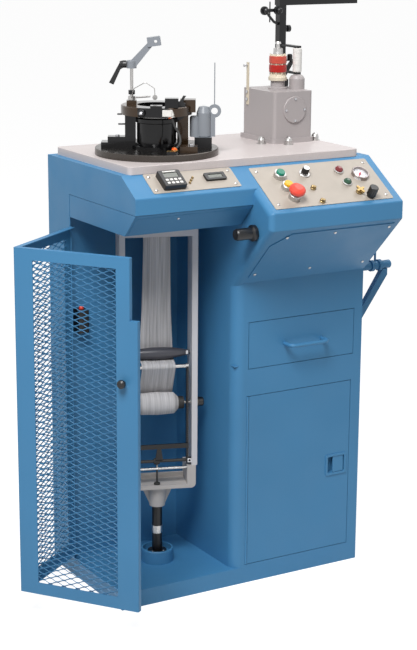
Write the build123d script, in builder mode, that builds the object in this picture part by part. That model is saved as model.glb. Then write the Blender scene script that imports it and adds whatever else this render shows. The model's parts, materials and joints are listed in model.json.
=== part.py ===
from build123d import *
from math import asin, atan2, cos, hypot, radians, sin, tan
import os

os.makedirs("parts", exist_ok=True)

# Sample knitting machine. Millimetres, +X to the machine's right, +Y to its back, +Z up.
# The origin is the centre of the cabinet's footprint, on the floor.

# Cabinet
cabinet_width = 700.0
cabinet_depth = 383.0
cabinet_height = 1079.0
sheet = 2.0
plinth_height = 43.0
bay_width = 317.5
bay_depth = 290.0
pedestal_corner_radius = 28.0
console_edge_radius = 14.0
lip_radius = 5.0
flange_width = 15.0
seam = 1.5

# Console: how far it stands out of the front, and its edges from the floor
console_reach = 155.0
console_under_z = cabinet_height - 292.0
console_lip_low_z = cabinet_height - 137.0
console_lip_high_z = cabinet_height - 94.0
slope_setback = 8.0

# Hood over the knitting bay
hood_reach = 78.0
hood_lip_low_z = cabinet_height - 83.0
hood_under_reach = 24.5
hood_floor_z = cabinet_height - 139.0
side_opening_depth = 261.0

# Table plate
table_thickness = 18.5
table_inset_left = 20.0
table_inset_right = 33.0
table_overhang_front = 10.0
table_inset_back = 7.0
table_corner_radius = 12.0

# Control plates on the slope
plate_thickness = 1.5
console_plate_margin = 20.5
console_plate_low = 13.0
console_plate_high = 162.0
timer_plate_left = 54.0
timer_plate_right = 290.0
timer_plate_low = 103.5
timer_plate_high = 171.7
plate_corner_radius = 4.0

# Guard
guard_open_deg = 54.0
guard_side_length = 282.0
guard_front_length = 298.0
guard_tab_length = 318.0
guard_low_z = 65.0
guard_high_z = hood_floor_z - 24.0
guard_tab_top_z = guard_high_z - 146.0
guard_fold = 14.0
guard_fold_radius = 3.6
guard_corner_rail = 50.0
guard_edge_rail = 34.0
guard_top_rail = 27.0
guard_bottom_rail = 30.0
mesh_thickness = 1.5
mesh_long_way = 74.0
mesh_short_way = 32.0
mesh_strand = 4.5
mesh_overlap = 7.0

# Piano hinges
hinge_radius = 3.0
hinge_pin_radius = 1.4
hinge_clearance = 0.1
hinge_gap = 3.6
hinge_leaf_thickness = 1.2
hinge_leaf_width = 7.5
knuckle_pitch = 28.0
knuckle_gap = 0.4

# Cupboard door and drawer
front_opening_left = 39.5
front_opening_right = 27.0
cupboard_low_z = 49.0
door_fold = 16.0
drawer_high_z = console_under_z - 100.5
drawer_low_z = drawer_high_z - 120.5
cupboard_high_z = drawer_low_z - 69.0
drawer_right_margin = 25.0
drawer_length = 300.0
drawer_wall = 1.2
drawer_wall_height = 96.0
runner_gap = 0.3
latch_width = 64.0
latch_height = 56.0
latch_centre_z = 275.0
latch_from_edge = 40.0

# Knitting head
head_from_left = 185.0
head_from_front = 157.0
head_turn_deg = -30.7
yoke_turn_deg = -19.7
cam_base_radius = 150.0
cam_base_thickness = 16.0
cam_radius = 48.0
cam_height = 74.0
ring_radius = 86.5
ring_thickness = 22.0
ring_gap = 7.0
cylinder_radius = 41.0
cylinder_wall = 5.0
needle_grooves = 24
needle_groove_depth = 1.4
drive_tube_radius = 55.0
drive_tube_wall = 5.0
tube_clearance = 0.05
post_radius = 4.0
post_offset = 60.0
post_high_z = cabinet_height + 224.0

# Take-down yoke
rail_outer = 98.0
rail_width = 14.5
rail_depth = 64.0
rail_wall = 4.0
yoke_top_low_z = cabinet_height - 182.5
yoke_top_thickness = 20.0
spreader_z = round(0.5505 * cabinet_height)
spreader_radius = 15.5
spreader_end_radius = 7.75
spreader_half = 72.0
rod_z = spreader_z - 29.0
rod_radius = 5.0
takeup_z = round(0.429 * cabinet_height)
takeup_radius = 29.0
takeup_half = 53.0
axle_radius = 4.0
lever_forward = 24.0
casting_low_z = round(0.228 * cabinet_height)
casting_high_z = casting_low_z + 59.0
lever_pivot_z = casting_high_z + 13.0
column_radius = 13.0
bearing_cup_radius = 41.5
bearing_cup_height = 35.0

# Drive in the hood
big_pulley_radius = 80.0
small_pulley_radius = 25.0
pulley_low_z = cabinet_height - 94.0
pulley_width = 20.0
motor_distance = 150.0
motor_radius = 42.0
belt_thickness = 3.0
belt_gap = 0.3

# Yarn feed gearbox
gearbox_left = 524.0
gearbox_front = 158.0
gearbox_width = 116.0
gearbox_depth = 150.0
gearbox_height = 129.5
cover_radius = 33.5

# Yarn stand
post_side = 20.0
stand_high_z = cabinet_height + 379.0
top_arm_length = 232.0

# Places worked out from the sizes above
left_x = -cabinet_width / 2
right_x = cabinet_width / 2
front_y = -cabinet_depth / 2
back_y = cabinet_depth / 2
shell_back_y = back_y - sheet
bay_x = left_x + bay_width
bay_back_y = front_y + bay_depth
side_opening_y = front_y + side_opening_depth
pedestal_width = cabinet_width - bay_width
table_z = cabinet_height + table_thickness
slope = atan2(cabinet_height - console_lip_high_z, console_reach - slope_setback)
hood_lip_high_z = cabinet_height - (hood_reach - slope_setback) * tan(slope)
slope_normal = (0, -sin(slope), cos(slope))
console_slope = Plane((bay_x, front_y - console_reach, console_lip_high_z), (1, 0, 0), slope_normal)
hood_slope = Plane((left_x, front_y - console_reach, console_lip_high_z), (1, 0, 0), slope_normal)
console_plate_right = pedestal_width - console_plate_margin
head_x = left_x + head_from_left
head_y = front_y + head_from_front
cam_base_z = table_z + cam_base_thickness
ring_z = cam_base_z + cam_height + ring_gap
ring_high_z = ring_z + ring_thickness


def box_between(low, high):
    """A plain block between two corners."""
    with BuildPart() as block:
        with BuildSketch(Plane.XY.offset(low[2])):
            with Locations(((low[0] + high[0]) / 2, (low[1] + high[1]) / 2)):
                Rectangle(high[0] - low[0], high[1] - low[1])
        extrude(amount=high[2] - low[2])
    return block.part


def turned(plane, *stations, bore=0):
    """A turned piece on the plane's normal, from (radius, height) stations."""
    side = Plane(plane.origin, x_dir=plane.x_dir, z_dir=-plane.y_dir)
    with BuildPart() as piece:
        with BuildSketch(side):
            with BuildLine():
                Polyline((bore, stations[0][1]), *stations, (bore, stations[-1][1]), close=True)
            make_face()
        revolve(axis=Axis(plane.origin, plane.z_dir))
    return piece.part


def upright(x, y, z):
    """The horizontal plane at a point."""
    return Plane((x, y, z), x_dir=(1, 0, 0), z_dir=(0, 0, 1))


class Places:
    """Places round the head's axis: across, towards the operator and up, at a turn of their own."""

    def __init__(self, turn_deg):
        turn = radians(turn_deg)
        self.right = (cos(turn), sin(turn), 0)
        self.front = (sin(turn), -cos(turn), 0)

    def point(self, across, forward, z):
        """A point across, towards the operator, and up from the floor."""
        x = head_x + across * self.right[0] + forward * self.front[0]
        y = head_y + across * self.right[1] + forward * self.front[1]
        return (x, y, z)

    def level(self, z):
        """A horizontal plane on the axis, X across and Y away from the operator."""
        return Plane((head_x, head_y, z), x_dir=self.right, z_dir=(0, 0, 1))

    def seat(self, across, forward, z):
        """A horizontal plane at a point."""
        return Plane(self.point(across, forward, z), x_dir=self.right, z_dir=(0, 0, 1))

    def face(self, forward=0):
        """An upright plane facing the operator, X across and Y up from the floor."""
        return Plane(self.point(0, forward, 0), x_dir=self.right, z_dir=self.front)

    def across(self, across, forward, z):
        """A plane at a point whose normal runs across."""
        return Plane(self.point(across, forward, z), x_dir=self.front, z_dir=self.right)

    def facing(self, across, forward, z):
        """A plane at a point whose normal faces the operator."""
        return Plane(self.point(across, forward, z), x_dir=self.right, z_dir=self.front)

    def side(self, across):
        """An upright plane across the axis, X towards the operator and Y up from the floor."""
        left = (-self.right[0], -self.right[1], 0)
        return Plane(self.point(across, 0, 0), x_dir=self.front, z_dir=left)


def rod_between(start, end, radius):
    """A round rod between two points."""
    with BuildPart() as rod:
        with BuildSketch(Plane(start, z_dir=Vector(*end) - Vector(*start))):
            Circle(radius)
        extrude(amount=(Vector(*end) - Vector(*start)).length)
    return rod.part


head = Places(head_turn_deg)
yoke = Places(yoke_turn_deg)


# Plinth, bay floor, bay back wall and hood floor: one welded liner around the bay
drive_hole_radius = drive_tube_radius + 8.0

with BuildPart() as bay_liner:
    add(box_between((left_x, front_y, 0), (right_x, shell_back_y, sheet)))
    add(box_between((left_x, front_y, sheet), (bay_x, shell_back_y, plinth_height)))
    hollow_low = (left_x + sheet, front_y + sheet, sheet)
    hollow_high = (bay_x, shell_back_y - sheet, plinth_height - sheet)
    add(box_between(hollow_low, hollow_high), mode=Mode.SUBTRACT)
    wall_low = (left_x + sheet, bay_back_y, plinth_height)
    wall_high = (bay_x, bay_back_y + sheet, hood_floor_z + sheet)
    add(box_between(wall_low, wall_high))
    floor_low = (left_x + sheet, front_y - hood_under_reach + sheet + seam, hood_floor_z)
    add(box_between(floor_low, wall_high))
    with BuildSketch(Plane.XY.offset(hood_floor_z)):
        with Locations((head_x, head_y)):
            Circle(drive_hole_radius)
    extrude(amount=sheet, mode=Mode.SUBTRACT)
bay_liner.part.label = "bay_liner"
export_step(bay_liner.part, "parts/bay_liner.step")


# Pedestal and console shell
def console_block(inset):
    """The console as a solid, with every face moved in by inset."""
    hidden = 40.0
    drop = hidden * (console_lip_low_z - console_under_z) / console_reach
    outline = [
        (front_y + hidden, console_under_z - drop),
        (front_y - console_reach, console_lip_low_z),
        (front_y - console_reach, console_lip_high_z),
        (front_y - slope_setback, cabinet_height),
        (front_y + hidden, cabinet_height),
    ]
    with BuildPart() as block:
        with BuildSketch(Plane.YZ.offset(bay_x + inset)):
            with BuildLine():
                Polyline(*outline, close=True)
            make_face()
            if inset:
                offset(amount=-inset, kind=Kind.INTERSECTION)
        extrude(amount=pedestal_width - 2 * inset)
        ends = block.faces().filter_by(Axis.X).sort_by(Axis.X)
        side_edges = ends[0].edges().filter_by(Axis.Y, reverse=True)
        hidden_edge = side_edges.sort_by(Axis.Y)[-1]
        fillet([e for e in side_edges if e != hidden_edge], radius=console_edge_radius - inset)
        if not inset:
            lip_edges = block.edges().filter_by(Axis.X).group_by(Axis.Y)[0]
            fillet(lip_edges, radius=lip_radius)
    return block.part


def pedestal_block(inset, low, back):
    """The pedestal as a solid, rounded at its corner by the bay."""
    with BuildPart() as block:
        with BuildSketch(Plane.XY.offset(low)):
            with BuildLine():
                corner = pedestal_corner_radius - inset
                left = bay_x + inset
                front = front_y + inset
                Line((left + corner, front), (right_x - inset, front))
                Line((right_x - inset, front), (right_x - inset, back))
                Line((right_x - inset, back), (left, back))
                Line((left, back), (left, front + corner))
                RadiusArc((left, front + corner), (left + corner, front), -corner)
            make_face()
        extrude(amount=cabinet_height - inset - low)
    return block.part


def hood_corner_block():
    """The square end of the hood where it runs into the console's rounded side."""
    with BuildPart() as block:
        with BuildSketch(Plane.YZ.offset(bay_x)):
            with BuildLine():
                Polyline(
                    (front_y - hood_reach, hood_lip_low_z),
                    (front_y - hood_reach, hood_lip_high_z),
                    (front_y - slope_setback, cabinet_height),
                    (front_y + console_edge_radius, cabinet_height),
                    (front_y + console_edge_radius, hood_lip_low_z),
                    close=True,
                )
            make_face()
        extrude(amount=console_edge_radius)
    return block.part


opening_left_x = bay_x + front_opening_left
cupboard_right_x = right_x - front_opening_right - 3.0
drawer_right_x = right_x - drawer_right_margin
hinge_x = opening_left_x
hinge_y = front_y + 1.0
runner_z = drawer_low_z + 12.0
runner_reach = 12.0
side_knob_y = front_y - 87.7
side_knob_z = console_lip_low_z - 12.1
side_spindle_radius = 5.0

with BuildPart() as pedestal:
    add(pedestal_block(0, sheet, shell_back_y))
    add(box_between((bay_x, front_y, sheet), (right_x, shell_back_y, plinth_height)))
    add(console_block(0))
    add(hood_corner_block())
    add(pedestal_block(sheet, sheet, shell_back_y + sheet), mode=Mode.SUBTRACT)
    foot_low = (bay_x - sheet, front_y + sheet, sheet)
    foot_high = (right_x - sheet, shell_back_y + sheet, plinth_height - sheet)
    add(box_between(foot_low, foot_high), mode=Mode.SUBTRACT)
    add(console_block(sheet), mode=Mode.SUBTRACT)
    flange_low = (right_x - flange_width, shell_back_y - sheet, sheet)
    add(box_between(flange_low, (right_x - sheet / 2, shell_back_y, cabinet_height - sheet / 2)))
    flange_low = (bay_x + sheet / 2, shell_back_y - sheet, plinth_height)
    add(box_between(flange_low, (bay_x + flange_width, shell_back_y, cabinet_height - sheet / 2)))
    cupboard_cut = box_between(
        (opening_left_x - hinge_gap, front_y - sheet, cupboard_low_z),
        (cupboard_right_x, front_y + sheet + seam, cupboard_high_z),
    )
    add(cupboard_cut, mode=Mode.SUBTRACT)
    drawer_cut = box_between(
        (opening_left_x, front_y - sheet, drawer_low_z),
        (drawer_right_x, front_y + sheet + seam, drawer_high_z),
    )
    add(drawer_cut, mode=Mode.SUBTRACT)
    runner_low_y = front_y + sheet + seam
    for left, right in (
        (bay_x + sheet / 2, opening_left_x + runner_reach),
        (drawer_right_x - runner_reach, right_x - sheet / 2),
    ):
        runner_high = (right, runner_low_y + drawer_length, runner_z)
        add(box_between((left, runner_low_y, runner_z - sheet), runner_high))
    knob_hole = Plane((bay_x, side_knob_y, side_knob_z), x_dir=(0, 1, 0), z_dir=(-1, 0, 0))
    with BuildSketch(knob_hole.offset(sheet)):
        Circle(side_spindle_radius + tube_clearance)
    extrude(amount=-4 * sheet, mode=Mode.SUBTRACT)
pedestal.part.label = "pedestal"
export_step(pedestal.part, "parts/pedestal.step")


# Left hood: top, sloped front, lip, side wall and the strip down the back of the side
def hood_prism(outline, inset, left, right):
    """A prism along X of a closed outline of (y, z) points, its faces moved in by inset."""
    with BuildPart() as prism:
        with BuildSketch(Plane.YZ.offset(left)):
            with BuildLine():
                Polyline(*outline, close=True)
            make_face()
            if inset:
                offset(amount=-inset, kind=Kind.INTERSECTION)
        extrude(amount=right - left)
    return prism.part


hood_outline = [
    (front_y - hood_reach, hood_lip_low_z),
    (front_y - hood_reach, hood_lip_high_z),
    (front_y - slope_setback, cabinet_height),
    (shell_back_y, cabinet_height),
    (shell_back_y, hood_lip_low_z),
]
hood_inner_outline = [
    (front_y - hood_reach, hood_lip_low_z - 4 * sheet),
    (front_y - hood_reach, hood_lip_high_z),
    (front_y - slope_setback, cabinet_height),
    (shell_back_y + 4 * sheet, cabinet_height),
    (shell_back_y + 4 * sheet, hood_lip_low_z - 4 * sheet),
]
top_hole_radius = drive_tube_radius + 12.0

with BuildPart() as left_hood:
    add(hood_prism(hood_outline, 0, left_x, bay_x))
    add(hood_prism(hood_inner_outline, sheet, left_x + sheet, bay_x), mode=Mode.SUBTRACT)
    strip_low = (left_x, side_opening_y + hinge_gap, plinth_height)
    add(box_between(strip_low, (left_x + sheet, shell_back_y, hood_lip_low_z)))
    flange_low = (left_x, shell_back_y - sheet, plinth_height)
    add(box_between(flange_low, (left_x + flange_width, shell_back_y, cabinet_height - sheet / 2)))
    with BuildSketch(Plane.XY.offset(cabinet_height)):
        with Locations((head_x, head_y)):
            Circle(top_hole_radius)
    extrude(amount=-sheet, mode=Mode.SUBTRACT)
    lip_edges = left_hood.edges().filter_by(Axis.X).group_by(Axis.Y)[0]
    fillet(lip_edges.sort_by(Axis.Z)[-1], radius=lip_radius)
left_hood.part.label = "left_hood"
export_step(left_hood.part, "parts/left_hood.step")


# Lower hood cover: slanted underside and side strip, folded from one sheet
cover_high_z = hood_lip_low_z - 1.0
cover_outline = [
    (front_y - hood_reach, cover_high_z),
    (front_y - hood_under_reach, hood_floor_z),
    (side_opening_y, hood_floor_z),
    (side_opening_y, cover_high_z),
]
under_run = (hood_reach - hood_under_reach) / (cover_high_z - hood_floor_z)
cover_inner_outline = [
    (front_y - hood_reach - 4 * sheet * under_run, cover_high_z + 4 * sheet),
    (front_y - hood_under_reach, hood_floor_z - 0.05),
    (side_opening_y + 4 * sheet, hood_floor_z - 0.05),
    (side_opening_y + 4 * sheet, cover_high_z + 4 * sheet),
]

with BuildPart() as lower_hood_cover:
    add(hood_prism(cover_outline, 0, left_x, bay_x - seam))
    add(hood_prism(cover_inner_outline, sheet, left_x + sheet, bay_x), mode=Mode.SUBTRACT)
    floor_cut_low = (left_x + sheet, front_y - hood_under_reach + sheet, hood_floor_z - sheet)
    add(box_between(floor_cut_low, (bay_x, side_opening_y, hood_floor_z + 2 * sheet)), mode=Mode.SUBTRACT)
lower_hood_cover.part.label = "lower_hood_cover"
export_step(lower_hood_cover.part, "parts/lower_hood_cover.step")


# Back panel over the whole back
with BuildPart() as back_panel:
    add(box_between((left_x, shell_back_y, 0), (right_x, back_y, cabinet_height)))
back_panel.part.label = "back_panel"
export_step(back_panel.part, "parts/back_panel.step")


# Cover plate on the console's slanted underside, with its upper left corner cut off
under_slope = atan2(console_lip_low_z - console_under_z, console_reach)
under_length = hypot(console_lip_low_z - console_under_z, console_reach)
under_normal = (0, -sin(under_slope), -cos(under_slope))
console_under = Plane((bay_x, front_y, console_under_z), (1, 0, 0), under_normal)
under_left = 24.0
under_right = pedestal_width - 14.0
under_low = 26.0
under_high = under_length - 16.0
under_chamfer = 44.0

with BuildPart() as console_cover:
    with BuildSketch(console_under):
        with BuildLine():
            Polyline(
                (under_left, under_low),
                (under_left, under_high - under_chamfer),
                (under_left + under_chamfer, under_high),
                (under_right, under_high),
                (under_right, under_low),
                close=True,
            )
        make_face()
    extrude(amount=sheet)
console_cover.part.label = "console_cover"
export_step(console_cover.part, "parts/console_cover.step")


# Table plate
table_low = (left_x + table_inset_left, front_y - table_overhang_front)
table_high = (right_x - table_inset_right, back_y - table_inset_back)
table_bore_radius = drive_tube_radius + 6.0

with BuildPart() as table_top:
    with BuildSketch(Plane.XY.offset(cabinet_height)):
        with Locations(((table_low[0] + table_high[0]) / 2, (table_low[1] + table_high[1]) / 2)):
            RectangleRounded(table_high[0] - table_low[0], table_high[1] - table_low[1], table_corner_radius)
        with Locations((head_x, head_y)):
            Circle(table_bore_radius, mode=Mode.SUBTRACT)
    extrude(amount=table_thickness)
    chamfer(table_top.faces().sort_by(Axis.Z)[-1].outer_wire().edges(), length=1.0)
table_top.part.label = "table_top"
export_step(table_top.part, "parts/table_top.step")


# Control plates
def slope_plate(plane, left, right, low, high):
    """A control plate lying on the slope."""
    with BuildPart() as plate:
        with BuildSketch(plane):
            with Locations(((left + right) / 2, (low + high) / 2)):
                RectangleRounded(right - left, high - low, plate_corner_radius)
        extrude(amount=plate_thickness)
    return plate


console_plate = slope_plate(
    console_slope, console_plate_margin, console_plate_right, console_plate_low, console_plate_high
)
console_plate.part.label = "console_plate"
export_step(console_plate.part, "parts/console_plate.step")

timer_plate = slope_plate(
    hood_slope, timer_plate_left, timer_plate_right, timer_plate_low, timer_plate_high
)
timer_plate.part.label = "timer_plate"
export_step(timer_plate.part, "parts/timer_plate.step")


def on_console(right, up, raised=plate_thickness):
    """A plane on the console plate, right of the bay wall and up the slope."""
    return Plane(console_slope.from_local_coords((right, up, raised)), (1, 0, 0), slope_normal)


def on_hood(right, up, raised=plate_thickness):
    """A plane on the timer plate, right of the left face and up the slope."""
    return Plane(hood_slope.from_local_coords((right, up, raised)), (1, 0, 0), slope_normal)


# Pan-head screws of the plates and covers, and the domed nuts on the table
screw_radius = 4.0
screw_height = 2.6


def pan_head(plane, radius=screw_radius, height=screw_height):
    """A pan-head screw's head."""
    return turned(plane, (radius, 0), (radius, height * 0.5), (radius * 0.6, height))


plate_screw_inset = 15.0
nut_places = [
    (left_x + gearbox_left - 24.0, front_y + gearbox_front + 20.0),
    (left_x + gearbox_left + 30.0, front_y + gearbox_front - 22.0),
    (left_x + gearbox_left + gearbox_width + 19.0, front_y + gearbox_front + 14.0),
]
timer_screw_inset = 11.0

with BuildPart() as fasteners:
    for right in (console_plate_margin + plate_screw_inset, console_plate_right - plate_screw_inset):
        for up in (console_plate_low + plate_screw_inset, console_plate_high - plate_screw_inset):
            add(pan_head(on_console(right, up)))
    for right in (timer_plate_left + timer_screw_inset, timer_plate_right - timer_screw_inset):
        for up in (timer_plate_low + timer_screw_inset, timer_plate_high - timer_screw_inset):
            add(pan_head(on_hood(right, up)))
    cover_screws = [
        (under_left + 12.0, under_low + 14.0),
        (under_left + 34.0, under_high - 12.0),
        ((under_left + under_right) / 2, under_low + 14.0),
        ((under_left + under_right) / 2, under_high - 12.0),
        (under_right - 12.0, under_low + 14.0),
        (under_right - 12.0, under_high - 12.0),
    ]
    for right, up in cover_screws:
        seat = console_under.from_local_coords((right, up, sheet))
        add(pan_head(Plane(seat, (1, 0, 0), under_normal)))
    for x, y in nut_places:
        add(turned(upright(x, y, table_z), (12.5, 0), (12.5, 1.5), (9.5, 2.0), (9.5, 10.0), (7.5, 16.0),
                   (3.0, 19.5)))
fasteners.part.label = "fasteners"
export_step(fasteners.part, "parts/fasteners.step")


# Keypad timer and digital counter on the left plate
keypad_left = 84.0
keypad_width = 58.0
keypad_low = 110.0
keypad_length = 54.0
keypad_raise = 15.0
counter_left = 206.0
counter_width = 55.0
counter_low = 129.0
counter_length = 24.0
counter_raise = 6.0

with BuildPart() as panel_instruments:
    with BuildSketch(on_hood(keypad_left + keypad_width / 2, keypad_low + keypad_length / 2)):
        RectangleRounded(keypad_width, keypad_length, 3.0)
    extrude(amount=keypad_raise)
    raised = panel_instruments.faces().sort_by(Axis(console_slope.origin, slope_normal))[-1]
    fillet(raised.edges(), radius=1.5)
    display = on_hood(keypad_left + keypad_width / 2, keypad_low + keypad_length * 0.68,
                      plate_thickness + keypad_raise)
    with BuildSketch(display):
        RectangleRounded(keypad_width * 0.66, keypad_length * 0.3, 1.5)
    extrude(amount=-1.0, mode=Mode.SUBTRACT)
    key_row = on_hood(keypad_left + keypad_width / 2, keypad_low + keypad_length * 0.28,
                      plate_thickness + keypad_raise)
    with BuildSketch(key_row):
        with GridLocations(keypad_width * 0.19, keypad_length * 0.2, 4, 2):
            RectangleRounded(keypad_width * 0.13, keypad_length * 0.12, 1.0)
    extrude(amount=0.6)
    with BuildSketch(on_hood(counter_left + counter_width / 2, counter_low + counter_length / 2)):
        RectangleRounded(counter_width, counter_length, 3.0)
    extrude(amount=counter_raise)
    window = on_hood(counter_left + counter_width / 2, counter_low + counter_length / 2,
                     plate_thickness + counter_raise)
    with BuildSketch(window):
        RectangleRounded(counter_width * 0.7, counter_length * 0.5, 1.0)
    extrude(amount=-1.2, mode=Mode.SUBTRACT)
    for step in (-1, 0, 1):
        add(turned(on_hood(167.5 + 7.0 * step, 137.0 + 8.0 * step), (3.2, 0), (3.2, 2.0), (2.0, 4.5)))
panel_instruments.part.label = "panel_instruments"
export_step(panel_instruments.part, "parts/panel_instruments.step")


# Pilot lamps, pressure gauge and collars on the console plate
lamp_right = 260.5
red_lamp_up = 124.0
green_lamp_up = 79.0
lamp_radius = 10.0


def pilot_lamp(up):
    """A pilot lamp: bezel and domed lens in one."""
    stations = [(lamp_radius + 2, 0), (lamp_radius + 2, 4), (lamp_radius, 5)]
    stations += [(lamp_radius, 8), (lamp_radius * 0.8, 11), (lamp_radius * 0.4, 13)]
    with BuildPart() as lamp:
        add(turned(on_console(lamp_right, up), *stations))
    return lamp


red_lamp = pilot_lamp(red_lamp_up)
red_lamp.part.label = "red_lamp"
export_step(red_lamp.part, "parts/red_lamp.step")

green_lamp = pilot_lamp(green_lamp_up)
green_lamp.part.label = "green_lamp"
export_step(green_lamp.part, "parts/green_lamp.step")

gauge_right = 312.5
gauge_up = 104.0
gauge_radius = 22.0
gauge_rim = 2.5
gauge_height = 10.0
gauge_dial = 3.0
needle_pin_radius = 1.2
zero_turn = radians(45)
needle_across = (cos(zero_turn), -sin(zero_turn) * cos(slope), -sin(zero_turn) * sin(slope))

with BuildPart() as gauge_needle:
    needle_centre = on_console(gauge_right, gauge_up, plate_thickness + gauge_dial + 1.2).origin
    needle_plane = Plane(needle_centre, x_dir=needle_across, z_dir=slope_normal)
    with BuildSketch(needle_plane):
        Circle(3.2)
        with BuildLine():
            Polyline((-1.4, 6.5), (1.4, 6.5), (0.5, -15.5), (-0.5, -15.5), close=True)
        make_face()
        Circle(needle_pin_radius + 0.05, mode=Mode.SUBTRACT)
    extrude(amount=0.8)
gauge_needle.part.label = "gauge_needle"
export_step(gauge_needle.part, "parts/gauge_needle.step")

button_right = 87.0
green_up = 123.0
yellow_up = 81.0
emergency_up = 45.0
knob_right = 160.5
knob_up = 125.0
selector_right = 157.0
selector_upper_up = 71.7
selector_lower_up = 23.7
brass_right = 276.5
brass_up = 43.7
regulator_right = 299.5
regulator_up = 26.0
collar_radius = 15.0
collar_height = 13.0
button_radius = 11.0
stem_radius = 8.0
fit = 0.1
spindle_radius = 3.0


def ring_collar(plane, radius, height, bore):
    """A turned collar with an eased top edge."""
    return turned(plane, (radius, 0), (radius, height - 1.2), (radius - 1.2, height), bore=bore)


with BuildPart() as panel_fittings:
    for up in (green_up, yellow_up):
        add(ring_collar(on_console(button_right, up), collar_radius, collar_height, button_radius + fit))
    add(ring_collar(on_console(button_right + 1, emergency_up), collar_radius, collar_height,
                    stem_radius + fit))
    add(ring_collar(on_console(knob_right, knob_up), 14.0, 3.5, spindle_radius + fit))
    for up in (selector_upper_up, selector_lower_up):
        add(ring_collar(on_console(selector_right, up), 7.0, 4.0, spindle_radius + fit))
    add(ring_collar(on_console(brass_right, brass_up), 9.0, 4.0, spindle_radius + fit))
    add(ring_collar(on_console(regulator_right, regulator_up), 9.0, 6.0, spindle_radius + fit))
    add(turned(on_console(gauge_right, gauge_up), (gauge_radius, 0), (gauge_radius, gauge_height - 1),
               (gauge_radius - 1, gauge_height)))
    dial_well = on_console(gauge_right, gauge_up, plate_thickness + gauge_height)
    with BuildSketch(dial_well):
        Circle(gauge_radius - gauge_rim)
    extrude(amount=gauge_dial - gauge_height, mode=Mode.SUBTRACT)
    add(turned(on_console(gauge_right, gauge_up, plate_thickness + gauge_dial),
               (needle_pin_radius, -1.0), (needle_pin_radius, 3.0)))
panel_fittings.part.label = "panel_fittings"
export_step(panel_fittings.part, "parts/panel_fittings.step")


def push_button(up):
    """A flush-domed push button that slides in its collar."""
    low = plate_thickness + 6.0
    high = collar_height - 6.0 + 5.0
    stations = [(button_radius, 0), (button_radius, high - 2), (button_radius - 1.5, high)]
    with BuildPart() as button:
        add(turned(on_console(button_right, up, low), *stations))
    return button


green_button = push_button(green_up)
green_button.part.label = "green_button"
export_step(green_button.part, "parts/green_button.step")

yellow_button = push_button(yellow_up)
yellow_button.part.label = "yellow_button"
export_step(yellow_button.part, "parts/yellow_button.step")

mushroom_radius = 20.0
emergency_gap = 7.0

with BuildPart() as emergency_button:
    stem_low = 6.5
    head_low = collar_height + emergency_gap - stem_low
    add(turned(
        on_console(button_right + 1, emergency_up, plate_thickness + stem_low),
        (stem_radius, 0), (stem_radius, head_low), (mushroom_radius - 2, head_low),
        (mushroom_radius, head_low + 3), (mushroom_radius, head_low + 9),
        (mushroom_radius - 3, head_low + 13), (mushroom_radius * 0.5, head_low + 16),
    ))
emergency_button.part.label = "emergency_button"
export_step(emergency_button.part, "parts/emergency_button.step")


def pointer_knob(plane, radius, height, collar, flutes):
    """A fluted knob on a spindle that runs in its collar."""
    with BuildPart() as knob:
        add(turned(plane, (spindle_radius, 0.2), (spindle_radius, collar + 0.4), (radius, collar + 0.4),
                   (radius * 0.92, collar + height - 1), (radius * 0.8, collar + height)))
        if flutes:
            top = plane.offset(collar + height)
            with BuildSketch(top):
                with PolarLocations(radius * 1.12, flutes):
                    Circle(radius * 0.22)
            extrude(amount=1 - height, mode=Mode.SUBTRACT)
    return knob


speed_knob = pointer_knob(on_console(knob_right, knob_up), 9.5, 17.0, 3.5, 10)
speed_knob.part.label = "speed_knob"
export_step(speed_knob.part, "parts/speed_knob.step")

regulator_knob = pointer_knob(on_console(regulator_right, regulator_up), 12.0, 24.0, 6.0, 12)
regulator_knob.part.label = "regulator_knob"
export_step(regulator_knob.part, "parts/regulator_knob.step")


def selector(up):
    """A small rotary selector: a round head with a grip bar, on a spindle."""
    plane = on_console(selector_right, up)
    with BuildPart() as switch:
        add(turned(plane, (spindle_radius, 0.2), (spindle_radius, 4.4), (5.5, 4.4), (5.0, 9.0)))
        with BuildSketch(plane.offset(9.0)):
            SlotOverall(9.6, 2.6, rotation=70)
        extrude(amount=5.0)
    return switch


selector_upper = selector(selector_upper_up)
selector_upper.part.label = "selector_upper"
export_step(selector_upper.part, "parts/selector_upper.step")

selector_lower = selector(selector_lower_up)
selector_lower.part.label = "selector_lower"
export_step(selector_lower.part, "parts/selector_lower.step")

with BuildPart() as brass_switch:
    brass_plane = on_console(brass_right, brass_up)
    add(turned(brass_plane, (spindle_radius, 0.2), (spindle_radius, 4.4), (6.0, 4.4), (6.0, 8.0)))
    with BuildSketch(brass_plane.offset(8.0)):
        SlotOverall(26.0, 6.0, rotation=20)
        SlotOverall(26.0, 6.0, rotation=110)
    extrude(amount=4.0)
brass_switch.part.label = "brass_switch"
export_step(brass_switch.part, "parts/brass_switch.step")

# Black hand knob on the console's bay side
side_plane = Plane((bay_x, side_knob_y, side_knob_z), x_dir=(0, 1, 0), z_dir=(-1, 0, 0))

with BuildPart() as side_knob:
    add(turned(side_plane, (side_spindle_radius, -12.0), (side_spindle_radius, 0.4), (17.0, 0.4), (20.0, 3.0),
               (20.0, 11.0), (17.0, 14.0), (14.5, 16.0), (14.5, 52.0), (12.5, 56.0)))
side_knob.part.label = "side_knob"
export_step(side_knob.part, "parts/side_knob.step")


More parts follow.
